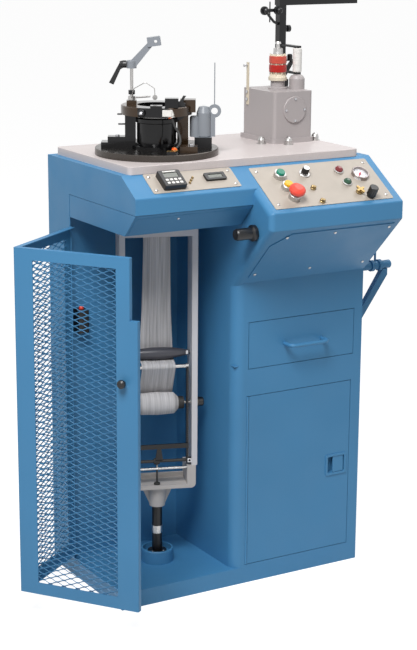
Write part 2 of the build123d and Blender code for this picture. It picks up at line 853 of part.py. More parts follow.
# Cupboard hinge and door
def knuckles(x, y, low, high, first, leaf_side):
    """Every second knuckle of a piano hinge, from the first, with the leaf behind the sheet."""
    count = int((high - low) // knuckle_pitch)
    pitch = (high - low) / count
    pieces = []
    for index in range(first, count, 2):
        start = low + index * pitch + knuckle_gap / 2
        with BuildPart() as knuckle:
            with BuildSketch(Plane.XY.offset(start)):
                with Locations((x, y)):
                    Circle(hinge_radius)
                leaf_centre = x + leaf_side * (hinge_gap + sheet) / 2
                with Locations((leaf_centre, y + hinge_radius - hinge_leaf_thickness / 2 - 0.8)):
                    Rectangle(hinge_gap + sheet, hinge_leaf_thickness)
                with Locations((x, y)):
                    Circle(hinge_pin_radius + hinge_clearance, mode=Mode.SUBTRACT)
            extrude(amount=pitch - knuckle_gap)
        pieces.append(knuckle.part)
    return pieces


door_low_z = cupboard_low_z + seam
door_high_z = cupboard_high_z - seam
leaf_front_y = hinge_y + hinge_radius - 0.8 - hinge_leaf_thickness

door_left_x = hinge_x + hinge_gap
door_right_x = cupboard_right_x - seam
latch_x = door_right_x - latch_from_edge
dish_depth = 12.0
dish_rim = 6.0
paddle_width = 32.0
paddle_height = latch_height - 2 * dish_rim - 2.0
paddle_left_x = latch_x + latch_width / 2 - dish_rim - 3.5 - paddle_width
paddle_pin = (paddle_left_x + paddle_width - 3.0, front_y + 4.0)
paddle_pin_radius = 1.4

with BuildPart() as cupboard_door:
    add(box_between((door_left_x, front_y, door_low_z), (door_right_x, front_y + door_fold, door_high_z)))
    inner_low = (door_left_x + sheet, front_y + sheet, door_low_z + sheet)
    inner_high = (door_right_x - sheet, front_y + door_fold, door_high_z - sheet)
    add(box_between(inner_low, inner_high), mode=Mode.SUBTRACT)
    for knuckle in knuckles(hinge_x, hinge_y, door_low_z, door_high_z, 1, 1):
        add(knuckle)
    latch_face = Plane((latch_x, front_y, latch_centre_z), x_dir=(1, 0, 0), z_dir=(0, -1, 0))
    with BuildSketch(latch_face):
        RectangleRounded(latch_width, latch_height, 4.0)
    extrude(amount=2.5)
    with BuildSketch(latch_face):
        RectangleRounded(latch_width - 2 * dish_rim + 3, latch_height - 2 * dish_rim + 3, 3.0)
    extrude(amount=-dish_depth - 1.5)
    with BuildSketch(latch_face.offset(2.5)):
        RectangleRounded(latch_width - 2 * dish_rim, latch_height - 2 * dish_rim, 2.5)
    extrude(amount=-dish_depth - 2.5, mode=Mode.SUBTRACT)
    with BuildSketch(Plane.XY.offset(latch_centre_z - latch_height / 2 + dish_rim - 0.5)):
        with Locations(paddle_pin):
            Circle(paddle_pin_radius)
    extrude(amount=latch_height - 2 * dish_rim + 1.0)
cupboard_door.part.label = "cupboard_door"
export_step(cupboard_door.part, "parts/cupboard_door.step")

with BuildPart() as latch_paddle:
    with BuildSketch(Plane.XY.offset(latch_centre_z - paddle_height / 2)):
        with BuildLine():
            Polyline(
                (paddle_left_x, front_y - 1.0),
                (paddle_left_x + paddle_width, front_y - 1.0),
                (paddle_left_x + paddle_width, front_y + 6.5),
                (paddle_left_x + paddle_width - 6.0, front_y + 6.5),
                (paddle_left_x + paddle_width - 8.0, front_y + 1.5),
                (paddle_left_x, front_y + 1.5),
                close=True,
            )
        make_face()
        with Locations(paddle_pin):
            Circle(paddle_pin_radius + hinge_clearance, mode=Mode.SUBTRACT)
    extrude(amount=paddle_height)
latch_paddle.part.label = "latch_paddle"
export_step(latch_paddle.part, "parts/latch_paddle.step")


# Drawer with its bent handle
drawer_left = opening_left_x + seam
drawer_right = drawer_right_x - seam
drawer_inset = 4.0
drawer_floor_z = runner_z + runner_gap
handle_centre_x = opening_left_x + 0.5 * (drawer_right_x - opening_left_x) + 3.0
handle_z = 0.5 * (drawer_low_z + drawer_high_z) - 6.0
handle_span = 112.0
handle_reach = 34.0
handle_radius = 5.0

with BuildPart() as drawer_box:
    front_low = (drawer_left, front_y, drawer_low_z + seam)
    add(box_between(front_low, (drawer_right, front_y + sheet, drawer_high_z - seam)))
    body_low = (drawer_left + drawer_inset, front_y + sheet, drawer_floor_z)
    body_back_y = front_y + sheet + drawer_length
    body_high = (drawer_right - drawer_inset, body_back_y, drawer_floor_z + drawer_wall_height)
    add(box_between(body_low, body_high))
    hole_low = (body_low[0] + drawer_wall, body_low[1], drawer_floor_z + drawer_wall)
    hole_high = (body_high[0] - drawer_wall, body_high[1] - drawer_wall, body_high[2])
    add(box_between(hole_low, hole_high), mode=Mode.SUBTRACT)
    with BuildLine() as handle_path:
        FilletPolyline(
            (handle_centre_x - handle_span / 2, front_y, handle_z),
            (handle_centre_x - handle_span / 2, front_y - handle_reach, handle_z),
            (handle_centre_x + handle_span / 2, front_y - handle_reach, handle_z),
            (handle_centre_x + handle_span / 2, front_y, handle_z),
            radius=14.0,
        )
    with BuildSketch(Plane(handle_path.line @ 0, z_dir=handle_path.line % 0)):
        Circle(handle_radius)
    sweep(path=handle_path.line)
drawer_box.part.label = "drawer_box"
export_step(drawer_box.part, "parts/drawer_box.step")


# Guard: an L of folded sheet with expanded metal behind its windows, hinged at the back of the side
open_turn = radians(guard_open_deg)
guard_x = left_x + 1.0
guard_y = side_opening_y
side_along = Vector(-sin(open_turn), -cos(open_turn), 0)
side_out = Vector(-cos(open_turn), sin(open_turn), 0)
front_along = Vector(cos(open_turn), -sin(open_turn), 0)
guard_axis = Vector(guard_x, guard_y, 0)
guard_side = Plane(guard_axis + side_out * 1.0, x_dir=side_along, z_dir=side_out)
guard_corner = guard_axis + side_out * 1.0 + side_along * guard_side_length
guard_front = Plane(guard_corner, x_dir=front_along, z_dir=side_along)
guard_height = guard_high_z - guard_low_z
guard_knuckles = int(guard_height // knuckle_pitch)
guard_pitch = guard_height / guard_knuckles
window_low_z = guard_low_z + guard_bottom_rail
window_high_z = guard_high_z - guard_top_rail


def rectangle_between(left, right, low, high, mode=Mode.ADD):
    """A rectangle in a sketch, between its edges."""
    with Locations(((left + right) / 2, (low + high) / 2)):
        Rectangle(right - left, high - low, mode=mode)


side_window = (guard_edge_rail, guard_side_length - guard_edge_rail)
front_window = (guard_corner_rail, guard_front_length - guard_edge_rail)

with BuildPart() as guard_frame:
    with BuildSketch(guard_side):
        rectangle_between(hinge_gap, guard_side_length, guard_low_z, guard_high_z)
        rectangle_between(*side_window, window_low_z, window_high_z, mode=Mode.SUBTRACT)
    extrude(amount=-sheet)
    with BuildSketch(guard_front):
        rectangle_between(0, guard_front_length, guard_low_z, guard_high_z)
        rectangle_between(0, guard_tab_length, guard_low_z, guard_tab_top_z)
        rectangle_between(*front_window, window_low_z, window_high_z, mode=Mode.SUBTRACT)
    extrude(amount=-sheet)
    with BuildSketch(guard_side):
        rectangle_between(hinge_gap, guard_side_length, guard_high_z - sheet, guard_high_z)
        rectangle_between(hinge_gap, guard_side_length, guard_low_z, guard_low_z + sheet)
    extrude(amount=-guard_fold)
    with BuildSketch(guard_front):
        rectangle_between(0, guard_front_length, guard_high_z - sheet, guard_high_z)
        rectangle_between(0, guard_tab_length, guard_low_z, guard_low_z + sheet)
        fold_x = guard_front_length - sheet
        rectangle_between(fold_x, guard_front_length, guard_tab_top_z - sheet, guard_high_z)
        rectangle_between(fold_x, guard_tab_length, guard_tab_top_z - sheet, guard_tab_top_z)
        rectangle_between(guard_tab_length - sheet, guard_tab_length, guard_low_z, guard_tab_top_z)
    extrude(amount=-guard_fold)
    uprights = guard_frame.edges().filter_by(Axis.Z)
    folds = [uprights.sort_by_distance(guard_corner + Vector(0, 0, window_low_z))[0]]
    for reach, z in ((guard_front_length, guard_tab_top_z + 50.0), (guard_tab_length, window_low_z)):
        folds.append(uprights.sort_by_distance(guard_corner + front_along * reach + Vector(0, 0, z))[0])
    fillet(folds, radius=guard_fold_radius)
    for index in range(1, guard_knuckles, 2):
        start = guard_low_z + index * guard_pitch + knuckle_gap / 2
        leaf_plane = Plane(guard_axis + Vector(0, 0, start), x_dir=side_along, z_dir=(0, 0, 1))
        with BuildSketch(leaf_plane):
            Circle(hinge_radius)
            rectangle_between(0, hinge_gap + sheet, -1.0, 0.2)
            Circle(hinge_pin_radius + hinge_clearance, mode=Mode.SUBTRACT)
        extrude(amount=guard_pitch - knuckle_gap)
guard_frame.part.label = "guard_frame"
export_step(guard_frame.part, "parts/guard_frame.step")


def expanded_metal(plane, left, right, low, high):
    """A flat sheet of expanded metal: a lattice of diamond openings inside a plain edge."""
    half_long = mesh_long_way / 2 - mesh_strand * hypot(mesh_long_way, mesh_short_way) / (2 * mesh_short_way)
    half_short = half_long * mesh_short_way / mesh_long_way
    columns = int((right - left) // mesh_long_way)
    rows = int((high - low) // mesh_short_way)
    with BuildPart() as mesh:
        with BuildSketch(plane):
            rectangle_between(left - mesh_overlap, right + mesh_overlap,
                              low - mesh_overlap, high + mesh_overlap)
            with BuildSketch(mode=Mode.SUBTRACT):
                with Locations(((left + right) / 2, (low + high) / 2)):
                    with GridLocations(mesh_long_way, mesh_short_way, columns + 2, rows + 2):
                        Polygon((half_long, 0), (0, half_short), (-half_long, 0), (0, -half_short))
                    with GridLocations(mesh_long_way, mesh_short_way, columns + 1, rows + 1):
                        Polygon((half_long, 0), (0, half_short), (-half_long, 0), (0, -half_short))
                rectangle_between(left, right, low, high, mode=Mode.INTERSECT)
        extrude(amount=-mesh_thickness)
    return mesh.part


with BuildPart() as guard_mesh:
    add(expanded_metal(guard_side.offset(-sheet), *side_window, window_low_z, window_high_z))
    add(expanded_metal(guard_front.offset(-sheet), *front_window, window_low_z, window_high_z))
guard_mesh.part.label = "guard_mesh"
export_step(guard_mesh.part, "parts/guard_mesh.step")

guard_knob_right = guard_front_length - guard_edge_rail / 2 + 2.0
guard_knob_z = guard_tab_top_z - 146.0

with BuildPart() as guard_knob:
    knob_seat = guard_front.from_local_coords((guard_knob_right, guard_knob_z, 0))
    add(turned(Plane(knob_seat, x_dir=front_along, z_dir=side_along), (5.0, 0), (5.0, 5.0), (9.0, 8.0),
               (10.5, 12.0), (10.0, 17.0), (6.0, 20.0)))
guard_knob.part.label = "guard_knob"
export_step(guard_knob.part, "parts/guard_knob.step")

# Fixed leaves, knuckles and pins of both piano hinges
with BuildPart() as piano_hinges:
    for knuckle in knuckles(hinge_x, hinge_y, door_low_z, door_high_z, 0, -1):
        add(knuckle)
    leaf_low = (hinge_x - hinge_gap - hinge_leaf_width, leaf_front_y, door_low_z)
    leaf_high = (hinge_x - hinge_gap, leaf_front_y + hinge_leaf_thickness, door_high_z)
    add(box_between(leaf_low, leaf_high))
    guard_leaf_x = left_x + sheet
    for index in range(0, guard_knuckles, 2):
        start = guard_low_z + index * guard_pitch + knuckle_gap / 2
        with BuildSketch(Plane.XY.offset(start)):
            with Locations((guard_x, guard_y)):
                Circle(hinge_radius)
            rectangle_between(guard_leaf_x, guard_leaf_x + hinge_leaf_thickness,
                              guard_y, guard_y + hinge_gap + sheet)
            with Locations((guard_x, guard_y)):
                Circle(hinge_pin_radius + hinge_clearance, mode=Mode.SUBTRACT)
        extrude(amount=guard_pitch - knuckle_gap)
    leaf_low = (guard_leaf_x, guard_y + hinge_gap, guard_low_z)
    leaf_high = (guard_leaf_x + hinge_leaf_thickness, guard_y + hinge_gap + hinge_leaf_width, guard_high_z)
    add(box_between(leaf_low, leaf_high))
    for x, y, low, high in (
        (hinge_x, hinge_y, door_low_z, door_high_z),
        (guard_x, guard_y, guard_low_z, guard_high_z),
    ):
        with BuildSketch(Plane.XY.offset(low)):
            with Locations((x, y)):
                Circle(hinge_pin_radius)
        extrude(amount=high - low)
        with BuildSketch(Plane.XY.offset(low + knuckle_gap / 2)):
            with Locations((x, y)):
                Circle(hinge_pin_radius + 2 * hinge_clearance)
        extrude(amount=4.0)
piano_hinges.part.label = "piano_hinges"
export_step(piano_hinges.part, "parts/piano_hinges.step")


# Door switch on the bay's back wall
switch_x = left_x + 34.0
switch_z = spreader_z + 78.0

with BuildPart() as interlock_switch:
    switch_low = (switch_x - 15.0, bay_back_y - 30.0, switch_z - 30.0)
    add(box_between(switch_low, (switch_x + 15.0, bay_back_y, switch_z + 30.0)))
    fillet(interlock_switch.edges().filter_by(Axis.Z).group_by(Axis.Y)[0], radius=3.0)
    add(turned(upright(switch_x, bay_back_y - 15.0, switch_z + 30.0), (6.0, 0), (6.0, 5.0), (4.0, 8.0)))
interlock_switch.part.label = "interlock_switch"
export_step(interlock_switch.part, "parts/interlock_switch.step")


# Knitting head: cam housing with its base disc, columns and foot bars
cam_bore_radius = cylinder_radius + 0.8

with BuildPart() as cam_housing:
    base_stations = [(cam_base_radius, 0), (cam_base_radius, cam_base_thickness - 1.5)]
    base_stations += [(cam_base_radius - 1.5, cam_base_thickness)]
    base_bore = drive_tube_radius + tube_clearance
    add(turned(upright(head_x, head_y, table_z), *base_stations, bore=base_bore))
    add(turned(
        upright(head_x, head_y, cam_base_z),
        (cam_radius + 14.0, -cam_base_thickness * 0.3), (cam_radius + 14.0, 6.0), (cam_radius, 12.0),
        (cam_radius, cam_height - 14.0), (cam_radius + 4.0, cam_height - 12.0),
        (cam_radius + 4.0, cam_height - 3.0), (cam_radius + 1.0, cam_height),
        bore=cam_bore_radius,
    ))
    with BuildSketch(head.level(cam_base_z)):
        rectangle_between(-134.0, -50.0, -22.0, 22.0)
    extrude(amount=13.0)
    with BuildSketch(head.level(cam_base_z + 13.0)):
        rectangle_between(-118.0, -52.0, -16.0, 16.0)
    extrude(amount=13.0)
    with BuildSketch(head.level(cam_base_z)):
        rectangle_between(-76.0, -50.0, -15.0, 15.0)
        rectangle_between(50.0, 77.0, -14.0, 18.0)
    extrude(amount=ring_z - cam_base_z)
    with BuildSketch(head.level(cam_base_z)):
        rectangle_between(58.0, 100.0, -97.0, -60.0)
    extrude(amount=14.0)
    add(turned(head.across(-95.0, 0, ring_z - 2.0), (2.0, 0), (2.0, 19.0)))
    add(turned(head.across(-93.0, 0, ring_z - 26.0), (2.0, 0), (2.0, 19.0)))
    with BuildSketch(upright(head_x, head_y, table_z)):
        Circle(base_bore)
    extrude(amount=cam_base_thickness * 0.7 + 0.3, mode=Mode.SUBTRACT)
cam_housing.part.label = "cam_housing"
export_step(cam_housing.part, "parts/cam_housing.step")


# Ring plate with its blocks, on the columns
with BuildPart() as ring_plate:
    add(turned(upright(head_x, head_y, ring_z), (ring_radius, 0), (ring_radius, ring_thickness - 2.0),
               (ring_radius - 2.0, ring_thickness), bore=cylinder_radius + 6.0))
    with BuildSketch(head.level(ring_z + 6.0)):
        rectangle_between(cylinder_radius + 16.0, ring_radius + 8.0, -26.0, 8.0)
    extrude(amount=ring_thickness + 8.0)
    with BuildSketch(head.level(ring_high_z)):
        rectangle_between(22.0, 54.0, -74.0, -50.0)
    extrude(amount=22.0)
    with BuildSketch(head.level(ring_z + 4.0)):
        rectangle_between(-12.0, 16.0, -104.0, -80.0)
    extrude(amount=ring_thickness + 4.0)
    with BuildSketch(head.level(ring_high_z)):
        with Locations((-post_offset, 0)):
            Rectangle(24.0, 24.0)
    extrude(amount=10.0)
    with BuildSketch(head.level(ring_z)):
        with Locations((-post_offset, 0)):
            Circle(post_radius + tube_clearance)
    extrude(amount=ring_thickness + 10.0, mode=Mode.SUBTRACT)
ring_plate.part.label = "ring_plate"
export_step(ring_plate.part, "parts/ring_plate.step")


# Grooved needle cylinder on the drive tube
drive_tube_high_z = table_z + 4.0
cylinder_high_z = ring_z - 4.0

with BuildPart() as needle_cylinder:
    add(turned(
        upright(head_x, head_y, drive_tube_high_z),
        (drive_tube_radius - 2.0, 0), (drive_tube_radius - 2.0, 5.0), (cylinder_radius, 5.0),
        (cylinder_radius, cylinder_high_z - drive_tube_high_z),
        bore=cylinder_radius - cylinder_wall,
    ))
    with BuildSketch(upright(head_x, head_y, cylinder_high_z)):
        with PolarLocations(cylinder_radius, needle_grooves):
            Rectangle(2 * needle_groove_depth, 2.0)
    extrude(amount=-24.0, mode=Mode.SUBTRACT)
needle_cylinder.part.label = "needle_cylinder"
export_step(needle_cylinder.part, "parts/needle_cylinder.step")


# Small motor on its bracket beside the cams
motor_across = 112.0

with BuildPart() as head_motor:
    with BuildSketch(head.level(cam_base_z)):
        rectangle_between(motor_across - 20.0, motor_across + 22.0, -20.0, 20.0)
    extrude(amount=26.0)
    motor_base_z = cam_base_z + 26.0
    motor_seat = head.seat(motor_across + 2.0, 0, motor_base_z)
    add(turned(motor_seat, (16.0, 0), (17.5, 2.0), (17.5, 58.0), (12.0, 72.0), (4.0, 74.0)))
    side_seat = head.seat(motor_across - 19.0, 0, motor_base_z)
    add(turned(side_seat, (13.0, 0), (13.0, 46.0), (10.0, 50.0)))
    add(turned(head.facing(motor_across + 28.0, 0, motor_base_z + 62.0),
               (16.0, -3.0), (16.0, 3.0), bore=8.0))
    with BuildSketch(head.level(motor_base_z)):
        rectangle_between(motor_across + 10.0, motor_across + 30.0, -4.0, 4.0)
    extrude(amount=52.0)
    rod_foot = head.point(motor_across + 28.0, 0, motor_base_z + 74.0)
    rod_tip = head.point(motor_across + 28.0, 0, motor_base_z + 178.0)
    add(rod_between(rod_foot, rod_tip, 1.2))
head_motor.part.label = "head_motor"
export_step(head_motor.part, "parts/head_motor.step")


# Post and swing arm, clamp lever and wire bail
arm_low_z = post_high_z
arm_end = (-6.0, arm_low_z + 64.0)
lever_across = -post_offset - 12.4
lever_z = arm_low_z + 9.5
clamp_stem_radius = 3.0

with BuildPart() as swing_arm:
    post_seat = head.seat(-post_offset, 0, ring_z + 2.0)
    add(turned(post_seat, (post_radius, 0), (post_radius, arm_low_z - ring_z)))
    add(turned(head.seat(-post_offset, 0, arm_low_z),
               (12.0, 0), (12.0, 17.0), (10.0, 19.0)))
    with BuildSketch(head.face(-7.0)):
        with BuildLine():
            Polyline(
                (-post_offset - 4.0, arm_low_z + 3.0),
                (-post_offset + 10.0, arm_low_z + 3.0),
                (arm_end[0] - 2.0, arm_end[1] - 9.0),
                (arm_end[0] - 6.0, arm_end[1] + 6.0),
                (-post_offset - 2.0, arm_low_z + 18.0),
                close=True,
            )
        make_face()
    extrude(amount=14.0)
    with BuildSketch(head.face(-10.0)):
        with Locations((arm_end[0], arm_end[1])):
            Rectangle(32.0, 22.0, rotation=8.0)
    extrude(amount=20.0)
    fillet(swing_arm.edges().filter_by(Axis((0, 0, 0), head.front)).group_by(Axis.Z)[-1], radius=3.0)
    with BuildSketch(head.face(10.0)):
        with Locations((arm_end[0] + 4.0, arm_end[1])):
            Circle(4.0)
    extrude(amount=-20.0, mode=Mode.SUBTRACT)
    add(turned(head.seat(-post_offset, 0, ring_high_z + 24.0),
               (8.0, 0), (8.0, 10.0)))
    with BuildSketch(head.across(lever_across, 0, lever_z)):
        Circle(clamp_stem_radius + fit)
    extrude(amount=10.0, mode=Mode.SUBTRACT)
swing_arm.part.label = "swing_arm"
export_step(swing_arm.part, "parts/swing_arm.step")


with BuildPart() as clamp_lever:
    add(turned(head.across(lever_across, 0, lever_z), (clamp_stem_radius, 9.0), (clamp_stem_radius, 0),
               (9.0, 0), (9.0, -8.0), (7.0, -16.0)))
    with BuildSketch(head.face(-5.0)):
        with BuildLine():
            Polyline(
                (lever_across - 3.0, lever_z + 6.0),
                (lever_across - 15.0, lever_z + 6.0),
                (lever_across - 42.0, lever_z - 44.0),
                (lever_across - 31.0, lever_z - 49.0),
                (lever_across - 14.0, lever_z - 12.0),
                (lever_across - 3.0, lever_z - 6.0),
                close=True,
            )
        make_face()
    extrude(amount=10.0)
clamp_lever.part.label = "clamp_lever"
export_step(clamp_lever.part, "parts/clamp_lever.step")

bail_z = ring_high_z + 40.0
bail_low_z = ring_high_z + 16.0
wire_radius = 1.1

with BuildPart() as wire_bail:
    bail_seat = head.seat(-post_offset, 0, ring_high_z + 11.0)
    add(turned(bail_seat, (9.0, 0), (9.0, 9.0), bore=post_radius + 0.1))
    with BuildLine() as wire:
        FilletPolyline(
            head.point(-post_offset, 8.5, bail_low_z),
            head.point(-post_offset + 6.0, 26.0, bail_z),
            head.point(-post_offset + 34.0, 30.0, bail_z + 16.0),
            head.point(-4.0, 30.0, bail_z + 2.0),
            head.point(-3.0, 30.0, bail_low_z + 6.0),
            radius=6.0,
        )
    with BuildSketch(Plane(wire.line @ 0, z_dir=wire.line % 0)):
        Circle(wire_radius)
    sweep(path=wire.line)
    add(turned(head.facing(-3.0, 28.0, bail_low_z + 4.0), (6.0, 0), (6.0, 4.0)))
    finger_foot = head.point(-post_offset + 7.0, 0, bail_low_z)
    add(rod_between(finger_foot, head.point(-15.0, 10.0, bail_low_z + 4.0), 2.0))
wire_bail.part.label = "wire_bail"
export_step(wire_bail.part, "parts/wire_bail.step")


# Air hose from the ring plate down to the base disc, with its two push-in fittings
hose_radius = 3.0
hose_points = [
    head.point(38.0, 92.0, ring_z + 1.0),
    head.point(45.0, 92.0, ring_z - 18.0),
    head.point(58.0, 98.0, ring_z - 40.0),
    head.point(60.0, 108.0, ring_z - 58.0),
    head.point(48.0, 120.0, ring_z - 70.0),
]
hose_radii = []
for before, corner, after in zip(hose_points, hose_points[1:], hose_points[2:]):
    run_in = Vector(*corner) - Vector(*before)
    run_out = Vector(*after) - Vector(*corner)
    turn = radians(run_in.get_angle(run_out))
    hose_radii.append(0.45 * min(run_in.length, run_out.length) / tan(turn / 2))

with BuildPart() as air_hose:
    with BuildLine() as hose_path:
        FilletPolyline(*hose_points, radius=hose_radii)
    with BuildSketch(Plane(hose_path.line @ 0, z_dir=hose_path.line % 0)):
        Circle(hose_radius)
    sweep(path=hose_path.line)
air_hose.part.label = "air_hose"
export_step(air_hose.part, "parts/air_hose.step")

hose_start = Vector(*hose_points[0])
hose_end = Vector(*hose_points[-1])
start_out = (Vector(*hose_points[1]) - hose_start).normalized()
end_out = (hose_end - Vector(*hose_points[-2])).normalized()

with BuildPart() as hose_fittings:
    add(turned(Plane(hose_start, z_dir=-start_out), (7.0, 0), (7.0, 4.0), (8.5, 4.0), (8.5, 16.0),
               (6.0, 18.0)))
    elbow_z = hose_start.Z + 12.0
    with BuildSketch(head.level(elbow_z - 8.0)):
        rectangle_between(16.5, 38.0, -102.0, -88.0)
    extrude(amount=14.0)
    add(turned(Plane(hose_end, z_dir=end_out), (7.5, 0), (7.5, 5.0), (6.0, 5.0), (6.0, 9.0)))
    with BuildSketch(head.level(cam_base_z)):
        rectangle_between(28.0, 50.0, -140.0, -116.0)
    extrude(amount=hose_end.Z - cam_base_z - 3.0)
hose_fittings.part.label = "hose_fittings"
export_step(hose_fittings.part, "parts/hose_fittings.step")


# Yarn feed gearbox with its round cover, hub and second housing
box_left_x = left_x + gearbox_left
box_right_x = box_left_x + gearbox_width
box_front_y = front_y + gearbox_front
box_back_y = box_front_y + gearbox_depth
box_high_z = table_z + gearbox_height
reel_x = box_left_x + 58.0
reel_y = box_front_y + 76.0
feeder_x = reel_x + 46.0
feeder_y = reel_y - 20.0
cover_x = box_left_x + 60.5
cover_z = table_z + 83.5
hub_height = 22.0
guide_y = box_front_y + 126.0
reel_stem_radius = 6.0
reel_stem_length = 10.0

with BuildPart() as gearbox:
    add(box_between((box_left_x, box_front_y, table_z), (box_right_x, box_back_y, box_high_z)))
    fillet(gearbox.edges().filter_by(Axis.Z), radius=8.0)
    foot_low = (box_left_x - 4.0, box_front_y - 4.0, table_z)
    add(box_between(foot_low, (box_right_x + 4.0, box_back_y + 4.0, table_z + 12.0)))
    fillet(gearbox.edges().filter_by(Axis.Z).group_by(Axis.Y)[0], radius=8.0)
    face = Plane((cover_x, box_front_y, cover_z), x_dir=(1, 0, 0), z_dir=(0, -1, 0))
    add(turned(face, (cover_radius, -2.0), (cover_radius, 3.0), (cover_radius - 1.0, 4.0)))
    for turn in (0, 90, 180, 270):
        reach = cover_radius - 6.0
        spot = face.from_local_coords((reach * cos(radians(turn)), reach * sin(radians(turn)), 4.0))
        add(turned(Plane(spot, (1, 0, 0), (0, -1, 0)), (3.2, -0.5), (3.2, 2.0)))
    add(turned(upright(reel_x, reel_y, box_high_z),
               (24.0, -1.0), (24.0, 4.0), (18.0, 6.0), (18.0, hub_height)))
    add(turned(upright(feeder_x, feeder_y, box_high_z),
               (20.0, -1.0), (20.0, 26.0), (16.0, 33.0), (8.0, 37.0)))
    guide_low = (box_left_x - 2.0, guide_y - 5.0, box_high_z - 42.0)
    add(box_between(guide_low, (box_left_x + 0.5, guide_y + 5.0, box_high_z + 66.0)))
    for drop in (9.0, 28.0):
        screw_seat = Plane((box_left_x - 2.0, guide_y, box_high_z - drop), x_dir=(0, 1, 0), z_dir=(-1, 0, 0))
        add(turned(screw_seat, (4.0, -0.5), (4.0, 2.5)))
    eye_seat = Plane((box_left_x - 1.5, guide_y, box_high_z + 58.0), x_dir=(0, 1, 0), z_dir=(-1, 0, 0))
    add(turned(eye_seat, (2.0, 0), (2.0, 8.0), (3.5, 9.0), (3.5, 12.0)))
    with BuildSketch(upright(reel_x, reel_y, box_high_z + hub_height)):
        Circle(reel_stem_radius + tube_clearance)
    extrude(amount=-reel_stem_length - 1.0, mode=Mode.SUBTRACT)
gearbox.part.label = "gearbox"
export_step(gearbox.part, "parts/gearbox.step")


# Storage reel of the yarn feeder
reel_low_z = box_high_z + hub_height
reel_bars = 8
reel_radius = 19.0
reel_height = 45.0

with BuildPart() as feeder_reel:
    bars_high = 19.0 + reel_height
    stations = [(reel_stem_radius, -reel_stem_length), (reel_stem_radius, 0.4), (24.0, 0.4), (24.0, 8.0)]
    stations += [(17.0, 17.0), (reel_radius, 19.0), (reel_radius, bars_high)]
    stations += [(reel_radius - 6.0, bars_high + 2.0), (12.0, bars_high + 9.0), (12.0, bars_high + 17.0)]
    stations += [(5.0, bars_high + 19.0), (5.0, bars_high + 27.0), (8.0, bars_high + 29.0)]
    stations += [(6.0, bars_high + 34.0)]
    add(turned(upright(reel_x, reel_y, reel_low_z), *stations))
    with BuildSketch(upright(reel_x, reel_y, reel_low_z + 12.0)):
        with PolarLocations(reel_radius + 0.6, reel_bars):
            Circle(1.8)
    extrude(amount=reel_height + 10.0)
feeder_reel.part.label = "feeder_reel"
export_step(feeder_reel.part, "parts/feeder_reel.step")


# White yarn roll in its black fork
roll_radius = 11.5
roll_length = 62.0
roll_low_z = box_high_z + 42.0
fork_pin_radius = 3.0

with BuildPart() as yarn_roll:
    add(turned(upright(feeder_x, feeder_y, roll_low_z + 0.5), (roll_radius - 1.5, 0), (roll_radius, 2.0),
               (roll_radius, roll_length - 3.0), (roll_radius - 1.5, roll_length - 1.0),
               bore=fork_pin_radius + 0.1))
yarn_roll.part.label = "yarn_roll"
export_step(yarn_roll.part, "parts/yarn_roll.step")

# Yarn stand: square post, long top arm, tension arm and side strut
post_x = box_right_x - 12.0
post_y = box_back_y - 14.0
stand_top = stand_high_z

